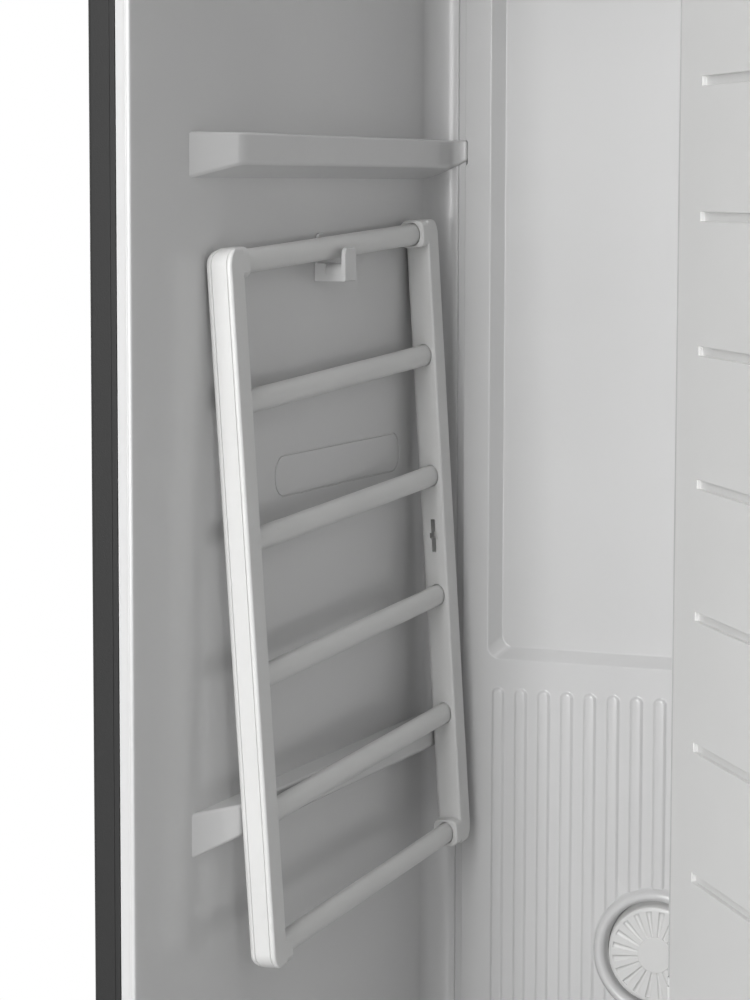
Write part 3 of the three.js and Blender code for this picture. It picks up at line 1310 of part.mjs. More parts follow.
piece("heat_pump_base", heatPumpBase(), "dark");
piece("blower_impeller", blowerImpeller(), "rack").position.set(scrollX, 0, scroll.z);
const coilFront = duct.front + duct.wall + duct.coilGap;
piece("evaporator", heatExchanger(coilFront), "metal");
piece("condenser", heatExchanger(coilFront + coil.depth + duct.coilGap * 2), "metal");
piece("compressor", compressorBody(), "dark");
piece("water_pump", waterPump(), "dark");
piece("steam_generator", steamGenerator(), "galvanised");
piece("steam_pipe", steamPipe(), "rubber");
piece("power_inlet", powerInlet(), "dark");
piece("upper_hinge_bracket", upperHinge(), "galvanised");
piece("lower_hinge_bracket", lowerHinge(), "galvanised");

const doorPivot = new THREE.Group();
doorPivot.position.set(hingeX, hinge.y, 0);
doorPivot.rotation.z = degrees(door.openAngle);
const doorGroup = new THREE.Group();
doorGroup.position.set(-hingeX, -hinge.y, 0);
doorPivot.add(doorGroup);
cabinet.add(doorPivot);

piece("door_glass", doorGlass(), "glass", doorGroup);
piece("door_frame", doorFrame(), "dark", doorGroup);
piece("door_liner", doorLiner(), "liner", doorGroup);
piece("door_gasket", doorGasket(), "rubber", doorGroup);
piece("press_clamp", pressClamp(), "dark", doorGroup);
piece("press_board", pressBoard(), "rack", doorGroup);

cabinet.position.y = -caseDepth / 2;
const steamCabinet = new THREE.Group();
steamCabinet.add(cabinet);

export default steamCabinet;
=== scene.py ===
import json
import math

import bpy
from mathutils import Matrix, Vector


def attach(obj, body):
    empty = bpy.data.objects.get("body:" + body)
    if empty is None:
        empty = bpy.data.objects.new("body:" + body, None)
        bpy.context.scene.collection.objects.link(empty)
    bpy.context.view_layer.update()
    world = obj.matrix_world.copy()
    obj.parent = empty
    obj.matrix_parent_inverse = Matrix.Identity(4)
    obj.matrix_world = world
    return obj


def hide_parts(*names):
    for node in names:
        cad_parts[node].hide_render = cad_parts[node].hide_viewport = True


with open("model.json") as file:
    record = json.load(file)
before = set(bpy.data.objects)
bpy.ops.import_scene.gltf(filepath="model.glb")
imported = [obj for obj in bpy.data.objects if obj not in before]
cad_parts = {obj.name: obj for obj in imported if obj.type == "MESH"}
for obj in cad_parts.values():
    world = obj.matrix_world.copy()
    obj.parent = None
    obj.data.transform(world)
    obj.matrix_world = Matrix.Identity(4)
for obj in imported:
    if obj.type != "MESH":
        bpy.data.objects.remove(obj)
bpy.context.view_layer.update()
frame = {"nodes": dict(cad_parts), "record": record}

# Sizes are in millimetres, from the front plane of the liner and the underside of the base pan.
MM = 0.001
FRONT = 0.274  # metres from the liner's front plane back to the frame's origin
WELD = 0.00001  # metres within which points are merged
NODES = frame["nodes"]
HOME = {node: body for body, nodes in frame["record"]["behaviour"]["bodies"].items() for node in nodes}
SLOT = {part["node"]: part["material_slot"] for part in frame["record"]["subparts"]}

WALL = 192.5  # half the width of the chamber
FLANGE = 202.7  # half the width over the liner's front flanges
FLOOR, CEILING = 470.3, 1739.7  # heights between which the liner's walls stand
BACK = 520.0  # front face of the back panel
VENT = 600  # height of the scent holder's axis
LEDGES = (750, 1203)  # where the sloping underside of each ledge leaves the wall
LEDGE_REACH, LEDGE_SLOPE, LEDGE_FACE = 18.8, 9.4, 20.9  # depth, rise of the underside, height of the face


def at(x, y, z):
    """A place in the cabinet."""
    return Vector((x * MM, y * MM - FRONT, z * MM))


def mm(x, y, z):
    """A travel along the three axes."""
    return Vector((x * MM, y * MM, z * MM))


def linear(colour):
    """An sRGB hex colour as linear RGBA."""
    values = [int(colour[i:i + 2], 16) / 255 for i in (1, 3, 5)]
    return [v / 12.92 if v <= 0.04045 else ((v + 0.055) / 1.055) ** 2.4 for v in values] + [1.0]


# Finishes

def add(tree, kind, settings=None, links=None):
    """Adds a node, sets its properties and sockets, and links sockets to (node, output) pairs."""
    node = tree.nodes.new(kind)
    for key, value in (settings or {}).items():
        if key in node.inputs:
            node.inputs[key].default_value = value
        else:
            setattr(node, key, value)
    for key, (source, output) in (links or {}).items():
        tree.links.new(source.outputs[output], node.inputs[key])
    return node


def new_material(name):
    """An empty material, and its node tree."""
    material = bpy.data.materials.new(name)
    material.use_nodes = True
    material.node_tree.nodes.clear()
    return material, material.node_tree


def tone(tree, share, dark, light):
    """The (node, output) pair of a colour between two others. Sockets 6 and 7 are the mix node's colours."""
    mix = add(tree, "ShaderNodeMix", {"data_type": "RGBA"}, {"Factor": share})
    mix.inputs[6].default_value = linear(dark)
    mix.inputs[7].default_value = linear(light)
    return mix, 2


def surface(tree, colour, skin, roughness, spread, depth, settings):
    """Shades a material: its skin varies the roughness by a share and raises the bump by a depth."""
    rough = add(tree, "ShaderNodeMapRange",
                {"To Min": roughness * (1 - spread), "To Max": roughness * (1 + spread)}, {"Value": skin})
    bump = add(tree, "ShaderNodeBump", {"Distance": depth * MM, "Strength": 1.0}, {"Height": skin})
    shader = add(tree, "ShaderNodeBsdfPrincipled", settings,
                 {"Base Color": colour, "Roughness": (rough, "Result"), "Normal": (bump, "Normal")})
    add(tree, "ShaderNodeOutputMaterial", links={"Surface": (shader, 0)})


def moulded_plastic(name, dark, light, roughness, drift_mm, grain_mm, grain_depth, settings=None):
    """Plastic, rubber, glass or foam: a slow drift between two tones and a fine skin."""
    material, tree = new_material(name)
    place = add(tree, "ShaderNodeTexCoord")
    drift, grain = (
        add(tree, "ShaderNodeTexNoise", {"Scale": 1000 / size, "Detail": detail}, {"Vector": (place, "Object")})
        for size, detail in ((drift_mm, 2.0), (grain_mm, 3.0)))
    surface(tree, tone(tree, (drift, "Fac"), dark, light), (grain, "Fac"), roughness, 0.12, grain_depth, settings)
    return material


def coated_metal(name, dark, light, roughness, metallic, cell_mm, depth, kind="ShaderNodeTexNoise",
                 stretch=(1, 1, 1), ior=1.5):
    """Sheet, bar or casting: its skin is a noise or a crystal pattern, drawn out along the rolling direction."""
    material, tree = new_material(name)
    place = add(tree, "ShaderNodeTexCoord")
    lay = add(tree, "ShaderNodeMapping", {"Scale": stretch}, {"Vector": (place, "Object")})
    pattern = add(tree, kind, {"Scale": 1000 / cell_mm}, {"Vector": (lay, "Vector")})
    skin = (pattern, "Fac" if kind == "ShaderNodeTexNoise" else "Distance")
    surface(tree, tone(tree, skin, dark, light), skin, roughness, 0.2, depth, {"Metallic": metallic, "IOR": ior})
    return material


FINISH = {
    # Dark powder coat over steel sheet: a fine orange peel that breaks up the soft highlight.
    "case_paint": coated_metal("powder_coated_steel", "#161616", "#1c1c1c", 0.5, 0.0, 1.1, 0.12, ior=1.42),
    # Vacuum formed ABS: light grey and glossy, with a slow drift of tone and mirror-like reflections.
    "liner_plastic": moulded_plastic(
        "vacuum_formed_abs", "#c5c5c5", "#cbcbcb", 0.2, 180, 14, 0.01, {"IOR": 1.53}),
    # Injection moulded ABS with a satin skin: paler than the liner, with soft highlights.
    "rack_plastic": moulded_plastic(
        "satin_moulded_abs", "#cdcdcc", "#d2d2d1", 0.34, 90, 0.9, 0.006, {"IOR": 1.53}),
    # Spark textured polypropylene: nearly black, and dull.
    "dark_plastic": moulded_plastic(
        "textured_polypropylene", "#232325", "#2a2a2c", 0.55, 60, 0.6, 0.03, {"IOR": 1.49}),
    # Clear styrene acrylonitrile with a smoky tint.
    "tank_plastic": moulded_plastic(
        "tinted_styrene_acrylonitrile", "#a9bac4", "#b4c3cc", 0.09, 120, 8, 0.008,
        {"IOR": 1.57, "Transmission Weight": 0.75}),
    # Toughened glass with a dark mirror coat on its back.
    "door_glass": moulded_plastic(
        "mirror_coated_toughened_glass", "#121315", "#15171a", 0.03, 300, 200, 0.0004,
        {"IOR": 1.52, "Coat Weight": 0.6, "Coat Roughness": 0.02}),
    # Hot dip galvanised sheet: dull grey zinc with spangles some 8 mm across.
    "zinc_steel": coated_metal(
        "galvanised_steel_sheet", "#8e9193", "#a9adaf", 0.42, 1.0, 8, 0.01, "ShaderNodeTexVoronoi"),
    # Satin stainless steel: fine brush lines along the bar.
    "bright_steel": coated_metal(
        "brushed_stainless_steel", "#a6a6a8", "#bcbcbe", 0.28, 1.0, 1.2, 0.006, stretch=(0.04, 1, 1)),
    # Mill finish aluminium fins: bright, a little streaky from rolling.
    "fin_aluminium": coated_metal(
        "mill_finish_aluminium", "#b2b4b6", "#c6c8ca", 0.36, 1.0, 3, 0.01, stretch=(1, 1, 0.1)),
    # Black stove enamel over drawn steel.
    "black_iron": coated_metal("black_stoved_steel", "#191919", "#202020", 0.38, 0.0, 2, 0.05),
    # Extruded EPDM rubber: dark grey, no gloss.
    "seal_rubber": moulded_plastic("extruded_epdm_rubber", "#343434", "#3d3d3d", 0.75, 50, 1.2, 0.03),
    # Polyurethane foam: cream, open and crumbly at its skin.
    "foam": moulded_plastic("polyurethane_foam", "#dcd4be", "#e9e3d2", 0.95, 40, 2.2, 0.5),
    # Glass epoxy board under green solder mask.
    "board_green": moulded_plastic("solder_masked_board", "#1f4a2d", "#2c5a38", 0.4, 12, 1.5, 0.05),
    # Opal polycarbonate: white, a little translucent.
    "lamp_plastic": moulded_plastic(
        "opal_polycarbonate", "#eeeeea", "#f3f3ef", 0.3, 60, 1.0, 0.01,
        {"IOR": 1.58, "Subsurface Weight": 0.2, "Subsurface Radius": (0.003, 0.003, 0.003)}),
}


# Modelling. A piece that is being edited stays open in edit mode until face_out() or done().

def alone(piece):
    """Makes a piece the only selected one, and the active one."""
    bpy.ops.object.select_all(action="DESELECT")
    piece.select_set(True)
    bpy.context.view_layer.objects.active = piece


def edit(piece):
    """Opens a piece in edit mode with all of it selected."""
    alone(piece)
    bpy.ops.object.mode_set(mode="EDIT")
    bpy.ops.mesh.select_all(action="SELECT")


def done():
    bpy.ops.object.mode_set(mode="OBJECT")


def extrude(travel):
    bpy.ops.mesh.extrude_region_move(TRANSFORM_OT_translate={"value": travel})


def weld():
    """Merges the points of the open mesh that lie together."""
    bpy.ops.mesh.select_all(action="SELECT")
    bpy.ops.mesh.remove_doubles(threshold=WELD)


def face_out():
    """Turns all faces outward and leaves edit mode."""
    bpy.ops.mesh.select_all(action="SELECT")
    bpy.ops.mesh.normals_make_consistent(inside=False)
    done()


def pick_faces(piece, test):
    """Selects the faces whose centre and normal pass the test."""
    bpy.ops.mesh.select_all(action="DESELECT")
    bpy.ops.mesh.select_mode(type="FACE")
    done()
    for face in piece.data.polygons:
        face.select = test(face.center, face.normal)
    bpy.ops.object.mode_set(mode="EDIT")


def modify(piece, kind, **settings):
    """Adds a modifier and applies it."""
    alone(piece)
    bpy.ops.object.modifier_add(type=kind)
    modifier = piece.modifiers[-1]
    for key, value in settings.items():
        setattr(modifier, key, value)
    bpy.ops.object.modifier_apply(modifier=modifier.name)


def combine(piece, tool, operation):
    """Joins the tool to the piece, or cuts it away, and deletes the tool."""
    modify(piece, "BOOLEAN", object=tool, operation=operation, solver="EXACT")
    bpy.data.objects.remove(tool)


def shade(piece, angle):
    """Shades faces smooth across edges that turn by less than the angle."""
    alone(piece)
    bpy.ops.object.shade_smooth_by_angle(angle=math.radians(angle))


def smooth(piece, angle):
    """Shades the rounded faces smooth and lets the flat ones keep their own normals."""
    shade(piece, angle)
    modify(piece, "WEIGHTED_NORMAL", keep_sharp=True, weight=90)


def soften(piece, width, segments, angle):
    """Rounds the edges that turn by more than the angle and shades the rest smooth."""
    modify(piece, "BEVEL", width=width * MM, segments=segments, limit_method="ANGLE",
           angle_limit=math.radians(angle), use_clamp_overlap=True, harden_normals=False)
    smooth(piece, 40)


def round_corners(piece, radius):
    """Rounds the edges that run from front to back."""
    edit(piece)
    bpy.ops.mesh.select_all(action="DESELECT")
    bpy.ops.mesh.select_mode(type="EDGE")
    done()
    points = piece.data.vertices
    for edge in piece.data.edges:
        a, b = (points[i].co for i in edge.vertices)
        edge.select = abs(a.x - b.x) < MM and abs(a.z - b.z) < MM
    bpy.ops.object.mode_set(mode="EDIT")
    bpy.ops.mesh.bevel(offset=radius * MM, segments=5, affect="EDGES")
    done()


def arc(cx, cy, radius, first, last, steps):
    """Points along an arc between two angles in degrees, both ends included."""
    angles = [math.radians(first + (last - first) * i / steps) for i in range(steps + 1)]
    return [(cx + radius * math.cos(a), cy + radius * math.sin(a)) for a in angles]


def bend(start, corner, end, steps):
    """Points along a smooth bend that cuts a corner."""
    return [tuple((1 - t) ** 2 * a + 2 * t * (1 - t) * b + t * t * c for a, b, c in zip(start, corner, end))
            for t in (i / steps for i in range(steps + 1))]


def rounded(half, low, high, radius, steps):
    """Points of an upright rectangle with round corners."""
    return (arc(half - radius, low + radius, radius, -90, 0, steps)
            + arc(half - radius, high - radius, radius, 0, 90, steps)
            + arc(-half + radius, high - radius, radius, 90, 180, steps)
            + arc(-half + radius, low + radius, radius, 180, 270, steps))


def outline(points, fill=True):
    """Draws a closed outline point by point, and fills it. It stays in edit mode."""
    bpy.ops.object.select_all(action="DESELECT")
    bpy.ops.mesh.primitive_plane_add(size=MM, location=(0, 0, 0))
    piece = bpy.context.active_object
    bpy.ops.object.mode_set(mode="EDIT")
    bpy.ops.mesh.select_mode(type="VERT")
    bpy.ops.mesh.select_all(action="SELECT")
    bpy.ops.mesh.merge(type="CENTER")
    bpy.ops.transform.translate(value=points[0])
    for a, b in zip(points, points[1:]):
        extrude(b - a)
    bpy.ops.mesh.select_all(action="DESELECT")
    done()
    for vertex in piece.data.vertices:
        vertex.select = min((vertex.co - end).length for end in (points[0], points[-1])) < WELD
    bpy.ops.object.mode_set(mode="EDIT")
    bpy.ops.mesh.edge_face_add()
    bpy.ops.mesh.select_all(action="SELECT")
    if fill:
        bpy.ops.mesh.edge_face_add()
    return piece


def prism(points, travel):
    """A closed outline drawn point by point and extruded."""
    piece = outline(points)
    extrude(travel)
    face_out()
    return piece


def lofted(points, stations):
    """An outline drawn at the first of several (place, size) stations, then extruded and scaled to the others."""
    piece = outline(points)
    for (place, size), (next_place, next_size) in zip(stations, stations[1:]):
        extrude(next_place - place)
        ratio = [b / a for a, b in zip(size, next_size)]
        bpy.ops.transform.resize(value=ratio, center_override=next_place)
    face_out()
    return piece


def revolved(profile, front, steps):
    """A closed profile of radii and depths, turned all the way round the scent holder's axis."""
    piece = outline([at(radius, front + depth, VENT) for radius, depth in profile], fill=False)
    bpy.ops.mesh.spin(steps=steps, angle=2 * math.pi, center=at(0, front, VENT), axis=(0, 1, 0))
    weld()
    face_out()
    return piece


def drum(radius, length, y, sides):
    """A cylinder whose middle lies on the scent holder's axis."""
    bpy.ops.object.select_all(action="DESELECT")
    bpy.ops.mesh.primitive_cylinder_add(
        vertices=sides, radius=radius * MM, depth=length * MM, location=at(0, y, VENT),
        rotation=(math.pi / 2, 0, 0))
    return bpy.context.active_object


def cube(low, high):
    """A block between its lowest and its highest corner."""
    bpy.ops.object.select_all(action="DESELECT")
    bpy.ops.mesh.primitive_cube_add(size=1, location=(low + high) / 2, scale=high - low)
    bpy.ops.object.transform_apply(location=True, rotation=True, scale=True)
    return bpy.context.active_object


def merged(pieces):
    """The pieces as one object, without cutting their meshes into each other."""
    alone(pieces[0])
    for piece in pieces:
        piece.select_set(True)
    bpy.ops.object.join()
    return pieces[0]


def copy_of(piece, matrix):
    """A copy whose mesh is moved by the matrix."""
    alone(piece)
    bpy.ops.object.duplicate()
    twin = bpy.context.active_object
    twin.data.transform(matrix)
    return twin


def flipped(piece):
    """A mirror image across the middle plane of the cabinet."""
    twin = copy_of(piece, Matrix.Scale(-1, 4, (1, 0, 0)))
    edit(twin)
    face_out()
    return twin


def install(piece, name, *nodes):
    """Names a finished piece, which takes the place, the body and the finish of its CAD nodes."""
    alone(piece)
    bpy.ops.object.transform_apply(location=True, rotation=True, scale=True)
    piece.name = name
    piece.data.name = name
    piece.data.materials.clear()
    piece.data.materials.append(FINISH[SLOT[nodes[0]]])
    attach(piece, HOME[nodes[0]])
    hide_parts(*nodes)


# Liner walls: a flange with a rolled edge, a coved back corner and two moulded ledges

def obround(front, rear, middle, radius):
    """Points of a slot with round ends, seen from the side."""
    return (arc(front + radius, middle, radius, 90, 270, 20)
            + arc(rear - radius, middle, radius, -90, 90, 20))


def liner_wall():
    """A plan outline extruded up: flange, wall, cove and the seat behind the back panel, with an oblong groove."""
    cove, nose, lip, outside = 20, -172.0, 1.4, -195.5
    flange = [
        (-FLANGE, 3), (-FLANGE, 0.4), (-197.4, 0.38), (-196.8, 0.26), (-196.3, 0.08), (-195.9, 0), (-195.5, 0.1),
        (-195.1, 0.38), (-194.8, 0.55), (-194.4, 0.62), (-194, 0.68), (-193.6, 0.86), (-193.2, 1.25),
        (-192.95, 1.9), (-192.78, 3), (-192.64, 5), (-192.55, 8), (-WALL, 13.3),
    ]
    seat = [
        (nose, 522), *arc(nose, 522 + lip, lip, -90, 0, 6)[1:], (nose + lip, 524),
        (-164.7, 524), (-164.7, 528), (-150, 528), (-150, 531),
    ]
    rear = [(-182.5, 531), (outside, 512), (outside, 13.3), (-197, 6), (-199.5, 3)]
    plan = [*flange, *arc(-WALL + cove, 522 - cove, cove, 180, 90, 16), *seat, *rear]
    wall = prism([at(x, y, FLOOR) for x, y in plan], mm(0, 0, CEILING - FLOOR))

    front, back, height, radius, groove = 220, 454.5, 994, 15, 1.1
    inner = obround(front + groove, back - groove, height, radius - groove)
    ring = prism([at(-WALL - 0.9, y, z) for y, z in obround(front, back, height, radius)], mm(3, 0, 0))
    combine(ring, prism([at(-WALL - 1.9, y, z) for y, z in inner], mm(6, 0, 0)), "DIFFERENCE")
    combine(wall, ring, "DIFFERENCE")
    soften(wall, 0.22, 2, 50)
    return wall


def ledge(height):
    """A plan outline extruded up, cut along its sloping underside and rounded all over."""
    outer, buried, rear, behind = -WALL + LEDGE_REACH, -WALL - 2.9, 522.0, 527.8
    front, full = 84.5, 127.5  # where the slanted end leaves the wall, and where it reaches the full depth
    slant = (full - front) / (outer + WALL)
    nose = bend((outer - 5 / slant, full - 5), (outer, full), (outer, full + 10), 6)
    flare = bend((outer, rear - 14), (outer, rear), (outer + 10.4, rear), 8)
    plan = [(buried, behind), (buried, front - slant * (-WALL - buried)), *nose, *flare, (flare[-1][0], behind)]
    low, top = height - 8, height + LEDGE_SLOPE + LEDGE_FACE
    body = prism([at(x, y, low) for x, y in plan], mm(0, 0, top - low))
    edit(body)
    bpy.ops.mesh.bisect(
        plane_co=at(-WALL, front, height), plane_no=Vector((LEDGE_SLOPE, 0, -LEDGE_REACH)).normalized(),
        use_fill=True, clear_outer=True)
    weld()
    face_out()
    soften(body, 2.2, 5, 40)
    return body


left_wall = liner_wall()
ledges = [ledge(height) for height in LEDGES]
install(flipped(left_wall), "liner_right_moulding", "liner_right_wall")
install(merged([flipped(piece) for piece in ledges]), "right_shelf_ledges", "liner_right_wall")
install(left_wall, "liner_left_moulding", "liner_left_wall")
install(merged(ledges), "left_shelf_ledges", "liner_left_wall")


# Back panel: a recessed field, moulded beads and the ring round the scent holder

def back_panel():
    """A plate with a deep field, a hole for the scent holder and a notch round the end of each ledge."""
    plate = cube(at(-164.4, BACK, 471), at(164.4, BACK + 7.7, 1739))
    round_corners(plate, 6)
    combine(plate, cube(at(-149.7, BACK + 2, 819), at(149.7, BACK + 12, 1721)), "UNION")

    half, low, high, depth = 142.8, 825, 1715, 9
    recess = outline([at(x, BACK - 1, z) for x, z in rounded(half, low, high, 10, 8)])
    extrude(mm(0, 1, 0))
    extrude(mm(0, depth, 0))
    bpy.ops.transform.resize(
        value=(134 / half, 1, 872.4 / (high - low)), center_override=at(0, BACK + depth, (low + high) / 2))
    face_out()
    combine(plate, recess, "DIFFERENCE")
    combine(plate, drum(43, 60, BACK, 64), "DIFFERENCE")

    for height in LEDGES:
        for side in (-1, 1):
            left, right = sorted((side * 162.3, side * 170))
            notch = cube(at(left, BACK - 2, height + 10), at(right, BACK + 10, height + 31.3))
            round_corners(notch, 3.4)
            combine(plate, notch, "DIFFERENCE")
    soften(plate, 1.8, 5, 32)
    return plate


def bead():
    """A round ended outline whose face is inset step by step up to its crest."""
    half, low, high, buried = 5.9, 477, 803, 0.3
    shape = [(half, low), *arc(0, high - half, half, 0, 180, 18), (-half, low)]
    piece = outline([at(x, BACK + buried, z) for x, z in shape])
    extrude(mm(0, -buried, 0))
    for inward, up in ((0.3, 0.05), (0.5, 0.25), (0.5, 0.5), (0.5, 0.5), (0.5, 0.35), (0.5, 0.18), (0.5, 0.07)):
        bpy.ops.mesh.inset(thickness=inward * MM, depth=0)
        bpy.ops.transform.translate(value=mm(0, -up, 0))
    face_out()
    return piece


def bead_row():
    """Fifteen beads, the middle ones cut off round the scent holder."""
    pitch = 19.1
    row = [bead()]
    for i in range(1, 8):
        for side in (-1, 1):
            row.append(copy_of(row[0], Matrix.Translation(mm(side * i * pitch, 0, 0))))
    beads = merged(row)
    combine(beads, drum(52, 30, BACK, 64), "DIFFERENCE")
    shade(beads, 40)
    return beads


def vent_ring():
    """The raised ring, and the cup behind it that holds the cap."""
    profile = [
        (53.8, 0.4), (53.2, 0), (52.4, -0.7), (51.2, -2.6), (50, -5), (48.8, -6.5), (47.2, -7), (45.6, -6.9),
        (44, -6.1), (42.9, -4.7), (42.2, -3), (42, 0), (42, 16.6), (1, 16.6), (1, 20), (46, 20), (46, 0.4),
    ]
    ring = revolved(profile, BACK, 64)
    shade(ring, 45)
    return ring


install(back_panel(), "back_panel_moulding", "back_panel")
install(bead_row(), "back_panel_beads", "back_panel")
install(vent_ring(), "scent_holder_ring", "back_panel")


# Twist cap of the scent holder: twenty sunk wedges round a plain hub

def scent_cap():
    """A turned cap whose wedges are sunk into its face, and a hub that covers their inner ends."""
    front, steps, pockets, offset = BACK - 6, 80, 20, 10
    profile = [(14, 0), (35, 0), (37, 0), (38, 0.7), (38.5, 2), (38.5, 12), (41.5, 12), (41.5, 16), (36, 16),
               (36, 3.5), (14, 3.5)]
    body = revolved(profile, front, steps)
    middle = at(0, front, VENT)

    def share(place):
        """How far a place lies from one pocket to the next, from 0 to 1."""
        turn = math.degrees(math.atan2(place.z - middle.z, place.x - middle.x)) - offset
        return (turn % (360 / pockets)) / (360 / pockets)

    def in_pocket(centre, normal):
        radius = math.hypot(centre.x - middle.x, centre.z - middle.z) / MM
        on_face = normal.y < -0.9 and centre.y < middle.y + MM
        return on_face and 15 < radius < 34 and not 0.25 <= share(centre) <= 0.75

    edit(body)
    pick_faces(body, in_pocket)
    bpy.ops.mesh.inset(thickness=0.25 * MM, depth=0)
    extrude(mm(0, 1.3, 0))
    done()
    hub = drum(14.2, 3.9, front + 1.55, 48)
    soften(hub, 0.5, 3, 40)
    cap = merged([body, hub])
    shade(cap, 35)
    return cap


install(scent_cap(), "scent_twist_cap", "scent_cap")


# Hook on the left wall: a thin plate, a block, a scooped saddle and a lip with round corners

def shouldered(front, rear, low, high):
    """Points of a plate with round upper corners, seen from the side."""
    radius = 6.0
    return [(front, low), (rear, low), *arc(rear - radius, high - radius, radius, 0, 90, 8),
            *arc(front + radius, high - radius, radius, 90, 180, 8)]


def wall_hook():
    """A J shaped profile cut to round shoulders, with a saddle in its throat and a plate against the wall."""
    back, front, width = -WALL + 0.3, 289.0, 20.0
    outer, rear = back + 24, front + width
    bottom, block_top, lip_top, plate_top = 1129.7, 1142.5, 1154, 1164
    corner, lip, fillet, inset = 1.2, 1.55, 0.6, 0.6
    side = [
        (back, bottom), *arc(outer - corner, bottom + corner, corner, -90, 0, 4),
        *arc(outer - lip, lip_top - lip, lip, 0, 180, 10), (outer - 2 * lip, bottom + 5), (back + 8.5, bottom + 5),
        *arc(back + 7.9, block_top - fillet, fillet, 0, 90, 3), (back, block_top),
    ]
    body = prism([at(x, front, z) for x, z in side], mm(0, width, 0))
    face = [at(back - 1, y, z) for y, z in shouldered(front, rear, bottom - 5, lip_top)]
    combine(body, prism(face, mm(26, 0, 0)), "INTERSECT")
    soften(body, 1.0, 4, 40)

    turns = [math.radians(90 - 10 * i) for i in range(10)]
    scoop = [(front + 0.5, bottom + 2), (rear - 0.4, bottom + 2), (rear - 0.4, 1142),
             *[(front + 0.5 + 7 * (1 - math.cos(t)), bottom + 4.9 + 7.4 * math.sin(t)) for t in turns]]
    saddle = prism([at(back + 5, y, z) for y, z in scoop], mm(17.4, 0, 0))
    face = [at(back, y, z) for y, z in shouldered(front + inset, rear - inset, bottom + 2, plate_top)]
    plate = prism(face, mm(2.0, 0, 0))
    soften(plate, 0.5, 2, 40)
    whole = merged([body, saddle, plate])
    smooth(whole, 40)
    return whole


install(wall_hook(), "wall_hook_moulding", "wall_hook")


# Rack: two rails, six oval rungs and the collars of the end rungs. It is made upright, with the middle of its top
# rung at the origin and x towards the room, and then leaned and tilted as it hangs.

RUNGS, PITCH = 6, 93.9
LOW = -(RUNGS - 1) * PITCH
HALF = 179.5  # half the distance between the middles of the rails
THICK, WIDE, COLLAR = 9.75, 10.5, 10.5  # half the depth and width of a rail, half the height of a collar
RUNG = (6.0, 8.2)  # half the depth and height of a rung
HUNG = (-180.7, 113, 1146)  # where the top rung meets the middle of the front rail
GAP = 0.3  # between the rails and the lower ledge
LEAN = math.atan(
    (LEDGE_REACH + GAP + THICK - WALL - HUNG[0]) / (HUNG[2] - LEDGES[0] - LEDGE_SLOPE - LEDGE_FACE))
TILT = math.radians(2.5)
RACK = (
    Matrix.Translation(at(HUNG[0] - HALF * math.sin(LEAN) * math.sin(TILT), HUNG[1] + HALF * math.cos(TILT),
                          HUNG[2] + HALF * math.cos(LEAN) * math.sin(TILT)))
    @ Matrix.Rotation(-LEAN, 4, "Y") @ Matrix.Rotation(TILT, 4, "X"))


def local(x, y, z):
    """A place on the upright rack."""
    return Vector((x, y, z)) * MM


def step_back(radius, distance):
    """How far a round end lies back from the side at a distance from its tip."""
    return radius - math.sqrt(radius ** 2 - (radius - distance) ** 2) if distance < radius else 0.0


def oval(z, gap, first, last):
    """A rung's section at a height, extruded between two places along the rung."""
    turns = [2 * math.pi * i / 48 for i in range(48)]
    points = [local((RUNG[0] + gap) * math.cos(t), first, z + (RUNG[1] + gap) * math.sin(t)) for t in turns]
    return prism(points, local(0, last - first, 0))


def rail_bar(side):
    """Lofted from end to end: wide round ends at the wall and on the outer side, small ones elsewhere."""
    wall_end, room_end, outer_end, inner_end = 8.5, 2.2, 12.5, 1.6
    low, high = LOW - COLLAR, COLLAR
    section = [
        *arc(THICK - 1.8, WIDE - 1.8, 1.8, 0, 90, 4), *arc(-THICK + 3, WIDE - 3, 3, 90, 180, 5),
        *arc(-THICK + 4.4, -WIDE + 4.4, 4.4, 180, 270, 7)]
    if side < 0:
        for line in (-THICK + 4.9, THICK - 3.2):  # two fine lines along the front rail's outer face
            section += [(line + x, y - WIDE) for x, y in ((-0.4, 0), (-0.25, 0.8), (0.25, 0.8), (0.4, 0))]
    section += arc(THICK - 2.2, -WIDE + 2.2, 2.2, 270, 360, 5)

    def station(z, distance):
        left, right = -THICK + step_back(wall_end, distance), THICK - step_back(room_end, distance)
        outside, inside = -WIDE + step_back(outer_end, distance), WIDE - step_back(inner_end, distance)
        middle = local((left + right) / 2, side * (HALF - (outside + inside) / 2), z)
        return middle, (right - left, inside - outside, 1)

    steps = [outer_end * (1 - math.cos(math.radians(9 * i))) for i in range(11)]
    stations = [station(low + d, d) for d in steps] + [station(high - d, d) for d in reversed(steps)]
    place, size = stations[0]
    points = [place + local(x * size[0] / 2 / THICK, -side * y * size[1] / 2 / WIDE, 0) for x, y in section]
    return lofted(points, stations)


def collar(z, side):
    """A rounded block on the inner side of the rail, whose far edge is rounded too."""
    reach, edge = 10, 1.2
    turns = [math.radians(18 * i) for i in range(6)]
    depths = [(WIDE - 3, 0)] + [(WIDE + reach - edge * (1 - math.sin(t)), edge * (1 - math.cos(t))) for t in turns]
    stations = [
        (local(0, side * (HALF - y), z), (2 * (THICK - back), 1, 2 * (COLLAR - back))) for y, back in depths]
    return lofted(
        [stations[0][0] + local(x, 0, z) for x, z in rounded(THICK, -COLLAR, COLLAR, 5.5, 6)], stations)


